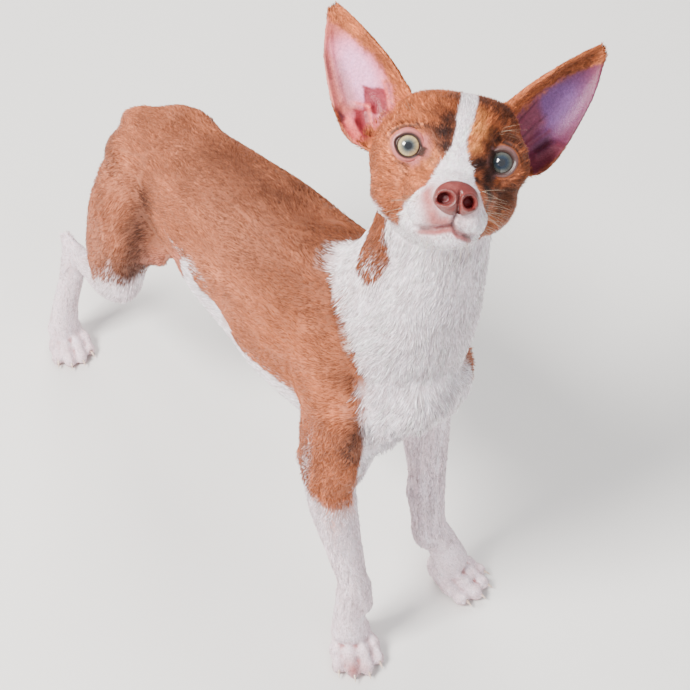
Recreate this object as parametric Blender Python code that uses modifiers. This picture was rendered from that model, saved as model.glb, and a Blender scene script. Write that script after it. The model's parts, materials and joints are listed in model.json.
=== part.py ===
"""A smooth-coated chihuahua, standing and looking up over its shoulder, life size.

The whole animal is modelled first as soft masses: lofts along the bones and
ellipsoids for the muscles, fused by a voxel remesh and smoothed. The face, the
ears and the toes are then worked in, the triangles are thinned out, and the
body is parted into head, neck, torso, tail and the lengths of each leg.
Metres. The dog faces -Y, its left side is +X, and it stands on z = 0.
"""
import math

import bmesh
import bpy
import numpy as np
from mathutils import Matrix, Vector

# Driving sizes
GAP = 0.0003                  # between nodes that touch
VOXEL = 0.0011                # of the remesh that fuses the masses
WITHERS_HEIGHT = 0.240
EYE_RADIUS = 0.0098
EYE_HALF_DISTANCE = 0.0200
EYE_OPENING = 0.0066          # half the width of the open lids
EAR_THICKNESS = 0.0019
CLAW_LENGTH = 0.0050
CLAW_ROOT_RADIUS = 0.0012
CLAW_DROOP = 0.0024
HIND_PAW_SCALE = 0.94
MOUTH_HEIGHT = -0.0296        # of the lip line at its middle, in the head frame
NOSTRIL = (0.0045, 0.0360, -0.0168)
FACE_SPARED = 0.30            # how far thinning spares the front of the head
TRIANGLES = {                 # of each kind of node before sockets are worked in
    "head": 3100, "tail": 170, "paw": 430, "forearm": 230, "upper_arm": 250,
    "metatarsus": 140, "shank": 210, "thigh": 310, "neck": 400, "torso": 1600,
}
OVERLAP = 0.004               # of two nodes while each is thinned

# Joints and landmarks of the skeleton, on the right side unless named otherwise
WITHERS = Vector((0.000, -0.045, WITHERS_HEIGHT))
NECK_TOP = Vector((0.022, -0.088, 0.302))
TAIL_ROOT = Vector((0.000, 0.128, 0.199))
SHOULDER = Vector((-0.027, -0.088, 0.168))
ELBOW = Vector((-0.035, -0.074, 0.123))
CARPUS = Vector((-0.031, -0.092, 0.045))
FRONT_PAW = Vector((-0.037, -0.098, 0.0))
LEFT_SHOULDER = Vector((0.028, -0.088, 0.168))
LEFT_ELBOW = Vector((0.036, -0.064, 0.121))
LEFT_CARPUS = Vector((0.026, -0.084, 0.043))
LEFT_FRONT_PAW = Vector((0.034, -0.097, 0.0))
HIP = Vector((-0.019, 0.110, 0.176))
KNEE = Vector((-0.040, 0.096, 0.121))
HOCK = Vector((-0.022, 0.178, 0.069))
HIND_PAW = Vector((-0.036, 0.177, 0.0))
LEFT_HIP = Vector((0.019, 0.113, 0.176))
LEFT_KNEE = Vector((0.033, 0.122, 0.116))
LEFT_HOCK = Vector((0.021, 0.206, 0.068))
LEFT_HIND_PAW = Vector((0.018, 0.212, 0.0))
FRONT_TOE_OUT = math.radians(24.0)
HIND_TOE_OUT = math.radians(16.0)
LEFT_HIND_TOE_OUT = math.radians(5.0)

# Where the body is parted: a point on each slanting face, and the way it looks
HEAD_BASE = ((0.0, -0.0360, -0.0240), (0.19, 0.69, 0.70))      # in the head's frame
NECK_BASE = (Vector((0.004, -0.082, 0.227)), Vector((0, -0.42, 0.90)))
TAIL_BASE = (TAIL_ROOT + Vector((0, 0.002, -0.002)), Vector((0, 1, 0.1)))
ARM_BASE = (Vector((0.016, -0.075, 0.150)), Vector((0.90, 0, -0.42)))
THIGH_BASE = (Vector((0.014, 0.110, 0.165)), Vector((0.94, 0, -0.34)))
FRONT_PAW_HEIGHT = 0.024
HIND_PAW_HEIGHT = 0.021
HOCK_DROP = 0.004             # from the hock to the top of the metatarsus
JOINT_STEP = 0.03             # of the bone's length left above a forearm or a shank

# The head's own frame: origin between the eyes, x to its left, y forward, z up
HEAD_ORIGIN = Vector((0.0052, -0.1152, 0.3446))
HEAD_YAW = math.radians(-31.5)
HEAD_PITCH = math.radians(43.5)
HEAD_ROLL = math.radians(15.0)
GAZE = Vector((-0.126, 0.991, -0.035))

# Colours of the materials: linear RGB, roughness
BROWN_COAT = ((0.36, 0.13, 0.065), 0.7)
WHITE_COAT = ((0.80, 0.74, 0.70), 0.75)
NOSE_LEATHER = ((0.33, 0.09, 0.075), 0.35)
EYE_GLOSS = ((0.35, 0.36, 0.26), 0.05)
CLAW_HORN = ((0.72, 0.56, 0.48), 0.4)
EAR_SKIN = ((0.62, 0.27, 0.22), 0.6)

X_AXIS = Vector((1, 0, 0))
UP = Vector((0, 0, 1))
FORWARD = Vector((0, -1, 0))


def clear_scene():
    for item in list(bpy.data.objects):
        bpy.data.objects.remove(item, do_unlink=True)


def new_collection(name):
    group = bpy.data.collections.new(name)
    bpy.context.scene.collection.children.link(group)
    return group


def principled(name, colour, roughness):
    material = bpy.data.materials.new(name)
    material.use_nodes = True
    shader = material.node_tree.nodes["Principled BSDF"]
    shader.inputs["Base Color"].default_value = (*colour, 1.0)
    shader.inputs["Roughness"].default_value = roughness
    shader.inputs["Metallic"].default_value = 0.0
    return material


def object_from(mesh_edit, name, group):
    """Turn a bmesh into an object and free it."""
    bmesh.ops.recalc_face_normals(mesh_edit, faces=mesh_edit.faces)
    mesh = bpy.data.meshes.new(name)
    mesh_edit.to_mesh(mesh)
    mesh_edit.free()
    item = bpy.data.objects.new(name, mesh)
    group.objects.link(item)
    return item


def head_matrix():
    """The turn of the head: yaw to its left, pitch up, then roll to its left."""
    left, fore, top = X_AXIS.copy(), FORWARD.copy(), UP.copy()
    fore, left = (math.cos(HEAD_YAW) * fore + math.sin(HEAD_YAW) * left,
                  math.cos(HEAD_YAW) * left - math.sin(HEAD_YAW) * fore)
    fore, top = (math.cos(HEAD_PITCH) * fore + math.sin(HEAD_PITCH) * top,
                 math.cos(HEAD_PITCH) * top - math.sin(HEAD_PITCH) * fore)
    top, left = (math.cos(HEAD_ROLL) * top + math.sin(HEAD_ROLL) * left,
                 math.cos(HEAD_ROLL) * left - math.sin(HEAD_ROLL) * top)
    turn = Matrix((left, fore, top)).transposed().to_4x4()
    return Matrix.Translation(HEAD_ORIGIN) @ turn


HEAD = head_matrix()
HEAD_INVERSE = HEAD.inverted()


def mirrored(point, side):
    """A point or a direction given for the left side, on the side asked for."""
    return Vector((point[0] * side, point[1], point[2]))


def catmull(values, steps):
    """Rows of numbers made into a smooth run that passes through each row."""
    rows = np.array(values, dtype=float)
    padded = np.vstack([2 * rows[0] - rows[1], rows, 2 * rows[-1] - rows[-2]])
    result = []
    for index in range(len(rows) - 1):
        p0, p1, p2, p3 = padded[index:index + 4]
        for step in range(steps):
            t = step / steps
            result.append(0.5 * (2 * p1 + (p2 - p0) * t
                                 + (2 * p0 - 5 * p1 + 4 * p2 - p3) * t ** 2
                                 + (3 * p1 - p0 - 3 * p2 + p3) * t ** 3))
    result.append(rows[-1])
    return np.array(result)


def loft(name, stations, group, dorsal=UP, sides=28, steps=7, ends=0.6, place=None,
         dome_turns=(72, 48, 24)):
    """A closed form through oval sections.

    A station is (centre, half width, half depth to the dorsal side, half depth
    to the other side). Sections stand square to the path, and both ends are
    domed by `ends` times their half depth.
    """
    rows = [(*centre, wide, above, below) for centre, wide, above, below in stations]
    run = catmull(rows, steps)
    centres = [Vector(row[:3]) for row in run]
    tangents = []
    for index in range(len(centres)):
        ahead = centres[min(index + 1, len(centres) - 1)]
        behind = centres[max(index - 1, 0)]
        tangents.append((ahead - behind).normalized())
    rings = []

    def add_ring(centre, tangent, wide, above, below):
        depth_axis = (dorsal - dorsal.dot(tangent) * tangent).normalized()
        width_axis = tangent.cross(depth_axis)
        ring = []
        for side in range(sides):
            angle = 2 * math.pi * side / sides
            rise = math.sin(angle)
            reach = above if rise > 0 else below
            ring.append(centre + width_axis * wide * math.cos(angle)
                        + depth_axis * reach * rise)
        rings.append(ring)

    dome = [math.radians(turn) for turn in dome_turns]
    first, last = run[0], run[-1]
    for turn in dome:
        push = ends * min(first[3:]) * math.sin(turn)
        add_ring(centres[0] - tangents[0] * push, tangents[0], *(first[3:] * math.cos(turn)))
    for row, centre, tangent in zip(run, centres, tangents):
        add_ring(centre, tangent, *row[3:])
    for turn in reversed(dome):
        push = ends * min(last[3:]) * math.sin(turn)
        add_ring(centres[-1] + tangents[-1] * push, tangents[-1], *(last[3:] * math.cos(turn)))

    edit = bmesh.new()
    grid = [[edit.verts.new(point) for point in ring] for ring in rings]
    for lower, upper in zip(grid, grid[1:]):
        for side in range(sides):
            after = (side + 1) % sides
            edit.faces.new((lower[side], lower[after], upper[after], upper[side]))
    edit.faces.new(list(reversed(grid[0])))
    edit.faces.new(grid[-1])
    if place is not None:
        bmesh.ops.transform(edit, matrix=place, verts=edit.verts)
    return object_from(edit, name, group)


def bulb(name, centre, radii, group, turn=(0, 0, 0), place=None, rings=18):
    """An ellipsoid; `turn` is degrees about x, y and z before it is set in place."""
    edit = bmesh.new()
    bmesh.ops.create_uvsphere(edit, u_segments=rings + rings // 2, v_segments=rings, radius=1.0)
    matrix = Matrix.Translation(Vector(centre))
    for degrees, axis in zip(reversed(turn), "ZYX"):
        matrix = matrix @ Matrix.Rotation(math.radians(degrees), 4, axis)
    matrix = matrix @ Matrix.Diagonal((*radii, 1.0))
    if place is not None:
        matrix = place @ matrix
    bmesh.ops.transform(edit, matrix=matrix, verts=edit.verts)
    return object_from(edit, name, group)


def band(x, y, top, bottom, half_width, belly=0.5):
    """A trunk section from its top and bottom heights; `belly` places its widest line."""
    middle = bottom + belly * (top - bottom)
    return (Vector((x, y, middle)), half_width, top - middle, middle - bottom)


def trunk_masses(group):
    loft("trunk", [
        band(0.001, -0.104, 0.204, 0.162, 0.022),
        band(0.001, -0.092, 0.218, 0.149, 0.031),
        band(0.001, -0.072, 0.230, 0.136, 0.0360),
        band(0.0, WITHERS.y, WITHERS.z, 0.120, 0.0370, 0.55),
        band(0.0, -0.010, 0.237, 0.116, 0.0378, 0.55),
        band(0.0, 0.030, 0.231, 0.125, 0.0365, 0.55),
        band(0.0, 0.062, 0.224, 0.141, 0.0320, 0.55),
        band(0.0, 0.088, 0.216, 0.150, 0.0290, 0.52),
        band(-0.001, 0.108, 0.2120, 0.152, 0.0265, 0.52),
        band(-0.001, 0.124, 0.2060, 0.160, 0.0195),
    ], group)
    bulb("breastbone", (0.002, -0.104, 0.176), (0.013, 0.010, 0.015), group)
    for side in (-1, 1):
        bulb("shoulder_blade", (0.026 * side, -0.064, 0.193), (0.0125, 0.025, 0.040), group,
             turn=(-22, -12 * side, 0))
        bulb("breast", (0.002 + 0.019 * side, -0.096, 0.174), (0.0165, 0.012, 0.020), group)
        bulb("croup", (0.015 * side - 0.001, 0.106, 0.190), (0.0150, 0.025, 0.018), group)
        bulb("flank_fold", (0.028 * side, 0.080, 0.157), (0.0050, 0.014, 0.012), group)


def neck_masses(group):
    loft("neck", [
        (Vector((0.004, -0.068, 0.186)), 0.0350, 0.042, 0.038),
        (Vector((0.010, -0.080, 0.220)), 0.0355, 0.040, 0.034),
        (Vector((0.014, -0.087, 0.252)), 0.0295, 0.032, 0.029),
        (Vector((0.018, -0.089, 0.280)), 0.0262, 0.026, 0.026),
        (NECK_TOP, 0.0245, 0.024, 0.025),
    ], group, dorsal=-FORWARD)


def front_leg_masses(side, shoulder, elbow, carpus, paw, group):
    toward_paw = paw + Vector((0, 0.006, 0.022))
    loft("upper_arm", [
        (shoulder + Vector((0, 0.006, 0.012)), 0.017, 0.022, 0.024),
        (shoulder.lerp(elbow, 0.45) + Vector((0, 0.004, 0)), 0.0155, 0.021, 0.024),
        (elbow + Vector((0, -0.002, 0.004)), 0.0125, 0.0165, 0.0165),
    ], group, dorsal=FORWARD)
    bulb("elbow_point", elbow + Vector((0.001 * side, 0.012, 0.005)), (0.0065, 0.0085, 0.0115), group)
    loft("forearm", [
        (elbow + Vector((0, -0.002, 0.004)), 0.0125, 0.0155, 0.0160),
        (elbow.lerp(carpus, 0.28), 0.0122, 0.0135, 0.0130),
        (elbow.lerp(carpus, 0.62), 0.0100, 0.0100, 0.0100),
        (elbow.lerp(carpus, 0.88), 0.0088, 0.0088, 0.0088),
        (carpus, 0.0098, 0.0092, 0.0100),
        (carpus.lerp(toward_paw, 0.6), 0.0094, 0.0084, 0.0088),
        (toward_paw + Vector((0, -0.002, -0.006)), 0.0105, 0.0095, 0.0095),
    ], group, dorsal=FORWARD)
    bulb("carpal_pad", carpus + Vector((0.004 * side, 0.0085, -0.004)), (0.0035, 0.003, 0.0035), group)


def hind_leg_masses(side, hip, knee, hock, paw, group):
    toward_paw = paw + Vector((0, 0.006, 0.018))
    loft("thigh", [
        (hip + Vector((0, 0, 0.004)), 0.0155, 0.030, 0.022),
        (hip.lerp(knee, 0.38) + Vector((0.003 * side, 0.001, 0)), 0.0165, 0.029, 0.027),
        (hip.lerp(knee, 0.72) + Vector((0.002 * side, 0.003, 0)), 0.0140, 0.021, 0.026),
        (knee + Vector((0, 0.001, 0.001)), 0.0112, 0.0125, 0.018),
    ], group, dorsal=FORWARD)
    loft("shank", [
        (knee + Vector((0, 0.002, 0.004)), 0.0115, 0.013, 0.014),
        (knee.lerp(hock, 0.30), 0.0105, 0.0125, 0.0145),
        (knee.lerp(hock, 0.62), 0.0078, 0.0095, 0.0115),
        (knee.lerp(hock, 0.88), 0.0062, 0.0080, 0.0100),
        (hock, 0.0076, 0.0085, 0.0100),
    ], group, dorsal=FORWARD)
    bulb("hock_point", hock + Vector((0, 0.0085, 0.006)), (0.0048, 0.0052, 0.0085), group, turn=(-20, 0, 0))
    loft("metatarsus", [
        (hock + Vector((0, 0.001, 0.002)), 0.0080, 0.0085, 0.0095),
        (hock.lerp(toward_paw, 0.35), 0.0078, 0.0078, 0.0085),
        (hock.lerp(toward_paw, 0.72), 0.0086, 0.0078, 0.0080),
        (toward_paw + Vector((0, -0.001, -0.005)), 0.0100, 0.0085, 0.0090),
    ], group, dorsal=FORWARD)


def paw_frame(paw, toe_out, side):
    """Paw frame: x to the dog's left, y along the toes, z up."""
    return Matrix.Translation(paw) @ Matrix.Rotation(math.pi + toe_out * side, 4, "Z")


# A toe of the paw: offset across, reach forward, spread in degrees, size
TOES = ((-0.0098, 0.0050, -14.0, 0.92), (-0.0035, 0.0098, -4.0, 1.0),
        (0.0035, 0.0098, 4.0, 1.0), (0.0098, 0.0050, 14.0, 0.92))


def paw_masses(frame, scale, group):
    for across, reach, spread, size in TOES:
        size *= scale
        turn = (0, 0, -spread)
        bulb("toe_knuckle", (across * scale, (reach - 0.0045) * scale, 0.0078 * size),
             (0.0040 * size, 0.0072 * size, 0.0056 * size), group, turn, frame)
        bulb("toe_tip", (across * 1.08 * scale, (reach + 0.0030) * scale, 0.0044 * size),
             (0.0038 * size, 0.0056 * size, 0.0050 * size), group, turn, frame)
    bulb("main_pad", (0, -0.0055 * scale, 0.0052), (0.0088 * scale, 0.0080 * scale, 0.0060), group,
         place=frame)
    bulb("instep", (0, -0.0065 * scale, 0.0125 * scale), (0.0108 * scale, 0.0100 * scale, 0.0085 * scale),
         group, place=frame)


def tail_masses(group):
    loft("tail", [
        (TAIL_ROOT + Vector((0, -0.012, -0.004)), 0.0100, 0.0095, 0.0095),
        (TAIL_ROOT + Vector((0.001, 0.009, -0.010)), 0.0074, 0.0072, 0.0072),
        (TAIL_ROOT + Vector((0.002, 0.0165, -0.032)), 0.0062, 0.0060, 0.0060),
        (TAIL_ROOT + Vector((0.003, 0.0190, -0.062)), 0.0055, 0.0053, 0.0053),
        (TAIL_ROOT + Vector((0.004, 0.0170, -0.088)), 0.0045, 0.0044, 0.0044),
        (TAIL_ROOT + Vector((0.004, 0.0130, -0.106)), 0.0030, 0.0030, 0.0030),
    ], group, dorsal=-FORWARD, sides=16)


def skull_masses(group):
    bulb("brain_case", (0, -0.0260, -0.0020), (0.0328, 0.0350, 0.0300), group, place=HEAD)
    bulb("forehead", (0, -0.0130, 0.0085), (0.0235, 0.0150, 0.0165), group, place=HEAD)
    bulb("throat", (0, -0.0300, -0.0220), (0.0230, 0.0250, 0.0170), group, place=HEAD)
    loft("muzzle", [
        (Vector((0, -0.0120, -0.0130)), 0.0240, 0.0100, 0.0155),
        (Vector((0, 0.0020, -0.0150)), 0.0195, 0.0108, 0.0145),
        (Vector((0, 0.0160, -0.0185)), 0.0155, 0.0103, 0.0115),
        (Vector((0, 0.0270, -0.0200)), 0.0118, 0.0090, 0.0092),
    ], group, place=HEAD, ends=0.5)
    loft("jaw", [
        (Vector((0, -0.0300, -0.0245)), 0.0210, 0.010, 0.0105),
        (Vector((0, -0.0080, -0.0280)), 0.0185, 0.008, 0.0088),
        (Vector((0, 0.0100, -0.0305)), 0.0130, 0.006, 0.0070),
        (Vector((0, 0.0210, -0.0318)), 0.0090, 0.005, 0.0060),
    ], group, place=HEAD, ends=0.8)
    for side in (-1, 1):
        bulb("cheek", (0.0178 * side, -0.0215, -0.0150), (0.0130, 0.0200, 0.0150), group, place=HEAD)
        bulb("flew", (0.0078 * side, 0.0170, -0.0235), (0.0098, 0.0140, 0.0074), group,
             turn=(0, 0, 12 * side), place=HEAD)
        bulb("lids", eye_centre(side), (EYE_RADIUS + 0.0016,) * 3, group, place=HEAD)
    bulb("nose_leather", (-0.0006, 0.0315, -0.0172), (0.0094, 0.0062, 0.0070), group, place=HEAD)


def eye_centre(side):
    iris = Vector((EYE_HALF_DISTANCE * side, 0.0002, 0.0012))
    return iris - GAZE.normalized() * (EYE_RADIUS - 0.0009)


def joined(group, name):
    """Join every object of a collection into one mesh object."""
    edit = bmesh.new()
    for item in list(group.objects):
        edit.from_mesh(item.data)
        bpy.data.objects.remove(item, do_unlink=True)
    return object_from(edit, name, group)


def apply_modifiers(item):
    """Replace an object's mesh by its evaluated one and drop the modifiers."""
    graph = bpy.context.evaluated_depsgraph_get()
    mesh = bpy.data.meshes.new_from_object(item.evaluated_get(graph))
    item.modifiers.clear()
    old = item.data
    item.data = mesh
    bpy.data.meshes.remove(old)
    return item


def coordinates(item):
    flat = np.empty(len(item.data.vertices) * 3)
    item.data.vertices.foreach_get("co", flat)
    return flat.reshape(-1, 3)


def set_coordinates(item, points):
    item.data.vertices.foreach_set("co", points.astype(np.float32).ravel())
    item.data.update()


def in_head(points):
    matrix = np.array(HEAD_INVERSE)
    return points @ matrix[:3, :3].T + matrix[:3, 3]


def out_of_head(points):
    matrix = np.array(HEAD)
    return points @ matrix[:3, :3].T + matrix[:3, 3]


def ramp(value, low, high):
    """Smooth step from 0 at `low` to 1 at `high`."""
    t = np.clip((value - low) / (high - low), 0.0, 1.0)
    return t * t * (3 - 2 * t)


def fuse(body):
    """Remesh the masses into one skin, then relax it: the trunk more than face and feet."""
    remesh = body.modifiers.new("fuse", "REMESH")
    remesh.mode = "VOXEL"
    remesh.voxel_size = VOXEL
    apply_modifiers(body)
    points = coordinates(body)
    local = in_head(points)
    feet = 1 - ramp(points[:, 2], 0.020, 0.040)
    face = ramp(local[:, 1], -0.062, -0.048) * ramp(local[:, 2], -0.045, -0.036)
    firm = np.maximum(feet, face)
    trunk = ramp(points[:, 2], 0.10, 0.15)
    for name, weight, turns in (("body", (1 - firm) * (0.3 + 0.7 * trunk), 70), ("detail", firm, 5)):
        layer = body.vertex_groups.new(name=name)
        for index in np.nonzero(weight > 0.01)[0]:
            layer.add([int(index)], float(weight[index]), "REPLACE")
        relax = body.modifiers.new(name, "SMOOTH")
        relax.factor = 0.5
        relax.iterations = turns
        relax.vertex_group = name
    return apply_modifiers(body)


def sculpt_face(body):
    """Work the line of the mouth, the philtrum, the nostrils and the stop into the skin."""
    points = coordinates(body)
    local = in_head(points)
    x, y, z = local.T
    muzzle = ramp(y, 0.000, 0.010) * (1 - ramp(np.abs(x), 0.024, 0.028))
    push = np.zeros_like(local)

    curve = MOUTH_HEIGHT - 0.0020 * ramp(np.abs(x), 0.004, 0.017) + 0.0006 * np.exp(-(x / 0.003) ** 2)
    under = np.exp(-((z - curve) / 0.0010) ** 2) * ramp(y, 0.004, 0.013) * muzzle
    push[:, 1] -= 0.0013 * under
    push[:, 0] -= 0.0009 * under * np.sign(x) * ramp(np.abs(x), 0.006, 0.012)
    lip = np.exp(-((z - curve + 0.0026) / 0.0013) ** 2) * ramp(y, 0.010, 0.020) * muzzle
    push[:, 1] += 0.0007 * lip

    groove = np.exp(-(x / 0.0008) ** 2) * ramp(y, 0.026, 0.030)
    groove *= ramp(z, MOUTH_HEIGHT, MOUTH_HEIGHT + 0.002) * (1 - ramp(z, -0.0200, -0.0170))
    push[:, 1] -= 0.0012 * groove
    for side in (-1, 1):
        pit = np.hypot((x - NOSTRIL[0] * side) / 0.0021, (z - NOSTRIL[2]) / 0.0017)
        push[:, 1] -= 0.0030 * (1 - ramp(pit, 0.35, 1.15)) * ramp(y, 0.030, 0.034)
    set_coordinates(body, out_of_head(local + push))


def thin_out(item, budget):
    """Collapse triangles down to the budget; on the head the face is spared."""
    collapse = item.modifiers.new("thin", "DECIMATE")
    count = sum(len(polygon.vertices) - 2 for polygon in item.data.polygons)
    collapse.ratio = min(1.0, budget / count)
    if item.name == "head":
        local = in_head(coordinates(item))
        face = ramp(local[:, 1], -0.030, -0.004)
        layer = item.vertex_groups.new(name="thinned")
        for index, spared in enumerate(face):
            layer.add([index], 1 - FACE_SPARED * float(spared), "REPLACE")
        collapse.vertex_group = "thinned"
    return apply_modifiers(item)


def is_manifold(item):
    edit = bmesh.new()
    edit.from_mesh(item.data)
    whole = all(edge.is_manifold for edge in edit.edges)
    edit.free()
    return whole


def boolean(item, other, operation):
    """Apply one Boolean: the manifold solver is quick, the exact one forgives a bad edge."""
    cut = item.modifiers.new(operation, "BOOLEAN")
    cut.operation = operation
    cut.solver = "MANIFOLD" if is_manifold(item) else "EXACT"
    cut.object = other
    return apply_modifiers(item)


def keep_largest(item):
    edit = bmesh.new()
    edit.from_mesh(item.data)
    bmesh.ops.remove_doubles(edit, verts=edit.verts, dist=0.000002)
    left = set(edit.verts)
    shells = []
    while left:
        shell, front = set(), [left.pop()]
        while front:
            vert = front.pop()
            shell.add(vert)
            for edge in vert.link_edges:
                after = edge.other_vert(vert)
                if after in left:
                    left.discard(after)
                    front.append(after)
        shells.append(shell)
    shells.sort(key=len)
    for shell in shells[:-1]:
        bmesh.ops.delete(edit, geom=list(shell), context="VERTS")
    bmesh.ops.triangulate(edit, faces=edit.faces)
    edit.to_mesh(item.data)
    edit.free()


def duplicate(item, name, group):
    copy = bpy.data.objects.new(name, item.data.copy())
    group.objects.link(copy)
    return copy


def aim(point, direction, across=X_AXIS):
    """A frame at `point` whose z axis looks along `direction`."""
    z_axis = direction.normalized()
    x_axis = (across - across.dot(z_axis) * z_axis).normalized()
    turn = Matrix((x_axis, z_axis.cross(x_axis), z_axis)).transposed().to_4x4()
    return Matrix.Translation(point) @ turn


def cutter_box(name, frame, size, grow, group):
    """A box on the frame's z = 0 plane, x by y by z in size, grown on every side."""
    edit = bmesh.new()
    bmesh.ops.create_cube(edit, size=1.0)
    scale = Matrix.Diagonal((size[0] + 2 * grow, size[1] + 2 * grow, size[2] + 2 * grow, 1.0))
    bmesh.ops.transform(edit, matrix=frame @ Matrix.Translation((0, 0, size[2] / 2)) @ scale,
                        verts=edit.verts)
    box = object_from(edit, name, group)
    box.hide_render = True
    box.display_type = "WIRE"
    return box


def cut_with_box(item, operation, region, grow, cutters):
    """Keep or remove what lies inside a region, given as a frame and a size."""
    box = cutter_box("region", *region, grow, cutters)
    boolean(item, box, operation)
    bpy.data.objects.remove(box, do_unlink=True)


def part_off(body, name, region, budget, earlier, parts, cutters):
    """Take a region out of the body as a node of its own.

    Both sides are cut with flesh to spare, thinned, and then cut to the same
    faces, so that thinning never moves the faces where two nodes meet.
    """
    node = duplicate(body, name, parts)
    cut_with_box(node, "INTERSECT", region, OVERLAP, cutters)
    cut_with_box(body, "DIFFERENCE", region, -OVERLAP, cutters)
    thin_out(node, budget)
    cut_with_box(node, "INTERSECT", region, -GAP / 2, cutters)
    for other in earlier:
        cut_with_box(node, "DIFFERENCE", other, GAP / 2, cutters)
    keep_largest(node)
    earlier.append(region)
    return node


def local_frame(point, direction):
    """A cutting frame given in the head's own frame."""
    return HEAD @ aim(Vector(point), Vector(direction))


# The free edges of the left ear in the head's frame, from the sunk root to the tip
EAR_FRONT_EDGE = ((0.0130, -0.0250, 0.0130), (0.0200, -0.0265, 0.0230), (0.0290, -0.0280, 0.0345),
                  (0.0390, -0.0310, 0.0440), (0.0490, -0.0350, 0.0520), (0.0570, -0.0395, 0.0582))
EAR_REAR_EDGE = ((0.0290, -0.0280, -0.0040), (0.0415, -0.0330, 0.0010), (0.0485, -0.0375, 0.0100),
                 (0.0540, -0.0410, 0.0225), (0.0582, -0.0425, 0.0370), (0.0594, -0.0410, 0.0545))
EAR_CUP = (0.0130, 0.0145, 0.0132, 0.0105, 0.0065, 0.0008)
EAR_PLANE = Vector((0.8, 0.0, 0.6))
EAR_PLANE_DISTANCE = 0.0325
EAR_LEAN = {-1: Vector((0, 0, -0.0020)), 1: Vector((0.0022, 0, 0.0012))}  # of each tip


def ear(side, parts):
    """The cupped ear: half ellipses hung between its two edges, then given a thickness."""
    steps, across = 3, 12
    front = catmull(EAR_FRONT_EDGE, steps)
    rear = catmull(EAR_REAR_EDGE, steps)
    cup = catmull([(depth,) for depth in EAR_CUP], steps)[:, 0]
    edit = bmesh.new()
    rows = []
    for index, (a, b, depth) in enumerate(zip(front, rear, cup)):
        lean = EAR_LEAN[side] * index / (len(front) - 1)
        a, b = Vector(a) + lean, Vector(b) + lean
        last = min(index + 1, len(front) - 1)
        along = Vector(front[last] + rear[last] - front[max(last - 2, 0)] - rear[max(last - 2, 0)])
        back = (b - a).cross(along).normalized()
        row = []
        for turn in range(across + 1):
            angle = math.pi * turn / across
            point = a.lerp(b, (1 - math.cos(angle)) / 2) + back * depth * math.sin(angle)
            row.append(edit.verts.new(mirrored(point, side)))
        rows.append(row)
    for lower, upper in zip(rows, rows[1:]):
        for index in range(across):
            edit.faces.new((lower[index], lower[index + 1], upper[index + 1], upper[index]))
    if side < 0:
        bmesh.ops.reverse_faces(edit, faces=edit.faces)
    bmesh.ops.transform(edit, matrix=HEAD, verts=edit.verts)
    mesh = bpy.data.meshes.new("ear")
    edit.to_mesh(mesh)
    edit.free()
    name = "ear_left" if side > 0 else "ear_right"
    shell = bpy.data.objects.new(name, mesh)
    parts.objects.link(shell)
    thicken = shell.modifiers.new("thickness", "SOLIDIFY")
    thicken.thickness = EAR_THICKNESS
    thicken.offset = 0.0
    middle = shell.vertex_groups.new(name="thick_middle")
    for index in range(len(mesh.vertices)):
        bow = math.sin(math.pi * (index % (across + 1)) / across)
        middle.add([index], bow, "REPLACE")
    thicken.vertex_group = "thick_middle"
    thicken.thickness_vertex_group = 0.55
    apply_modifiers(shell)
    return shell


def fit_nose(head, parts, cutters):
    region = (local_frame((0, 0.0322, -0.0175), (0, 0.96, 0.27)), (0.026, 0.0165, 0.02))
    nose = duplicate(head, "nose", parts)
    cut_with_box(nose, "INTERSECT", region, -GAP / 2, cutters)
    cut_with_box(head, "DIFFERENCE", region, GAP / 2, cutters)
    keep_largest(nose)
    keep_largest(head)


def fit_ears(head, parts, cutters):
    """Fuse each ear's root with the head and leave the rest of it as a node."""
    for side in (-1, 1):
        shell = ear(side, parts)
        normal = mirrored(EAR_PLANE, side)
        region = (local_frame(normal * EAR_PLANE_DISTANCE, normal), (0.12, 0.12, 0.08))
        root = duplicate(shell, "ear_root", cutters)
        cut_with_box(root, "DIFFERENCE", region, GAP / 2, cutters)
        cut_with_box(shell, "INTERSECT", region, -GAP / 2, cutters)
        boolean(head, root, "UNION")
        bpy.data.objects.remove(root, do_unlink=True)
        keep_largest(shell)
    keep_largest(head)


def fit_eyes(head, parts, cutters):
    """Set each eyeball in a socket and open the lids in front of it."""
    for side in (-1, 1):
        name = "eye_left" if side > 0 else "eye_right"
        centre = eye_centre(side)
        frame = HEAD @ aim(centre, GAZE)
        opening = bmesh.new()
        bmesh.ops.create_cone(opening, cap_ends=True, segments=28, depth=0.02,
                              radius1=EYE_OPENING * 0.8, radius2=EYE_OPENING * 1.25)
        bmesh.ops.transform(opening, matrix=frame @ Matrix.Translation((0, 0, 0.0105)),
                            verts=opening.verts)
        window = object_from(opening, "lid_opening", cutters)
        socket = bulb("socket", centre, (EYE_RADIUS + GAP,) * 3, cutters, place=HEAD, rings=12)
        for cutter in (window, socket):
            boolean(head, cutter, "DIFFERENCE")
            bpy.data.objects.remove(cutter, do_unlink=True)
        ball = bulb(name, centre, (EYE_RADIUS,) * 3, parts, place=HEAD, rings=12)
        keep_largest(ball)
    keep_largest(head)


def claw(name, frame, root, droop, grow, group):
    """A claw curving down from its root; `grow` makes the room that it sits in."""
    stations = []
    for step in range(3):
        t = step / 2
        centre = root + Vector((0, CLAW_LENGTH * t, -droop * t * t))
        radius = CLAW_ROOT_RADIUS * (1 - 0.82 * t ** 1.5) + grow
        stations.append((centre, radius * 0.8, radius, radius))
    return loft(name, stations, group, sides=6, steps=1, ends=0.5 + 2 * (grow > 0), place=frame,
                dome_turns=(45,))


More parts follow.
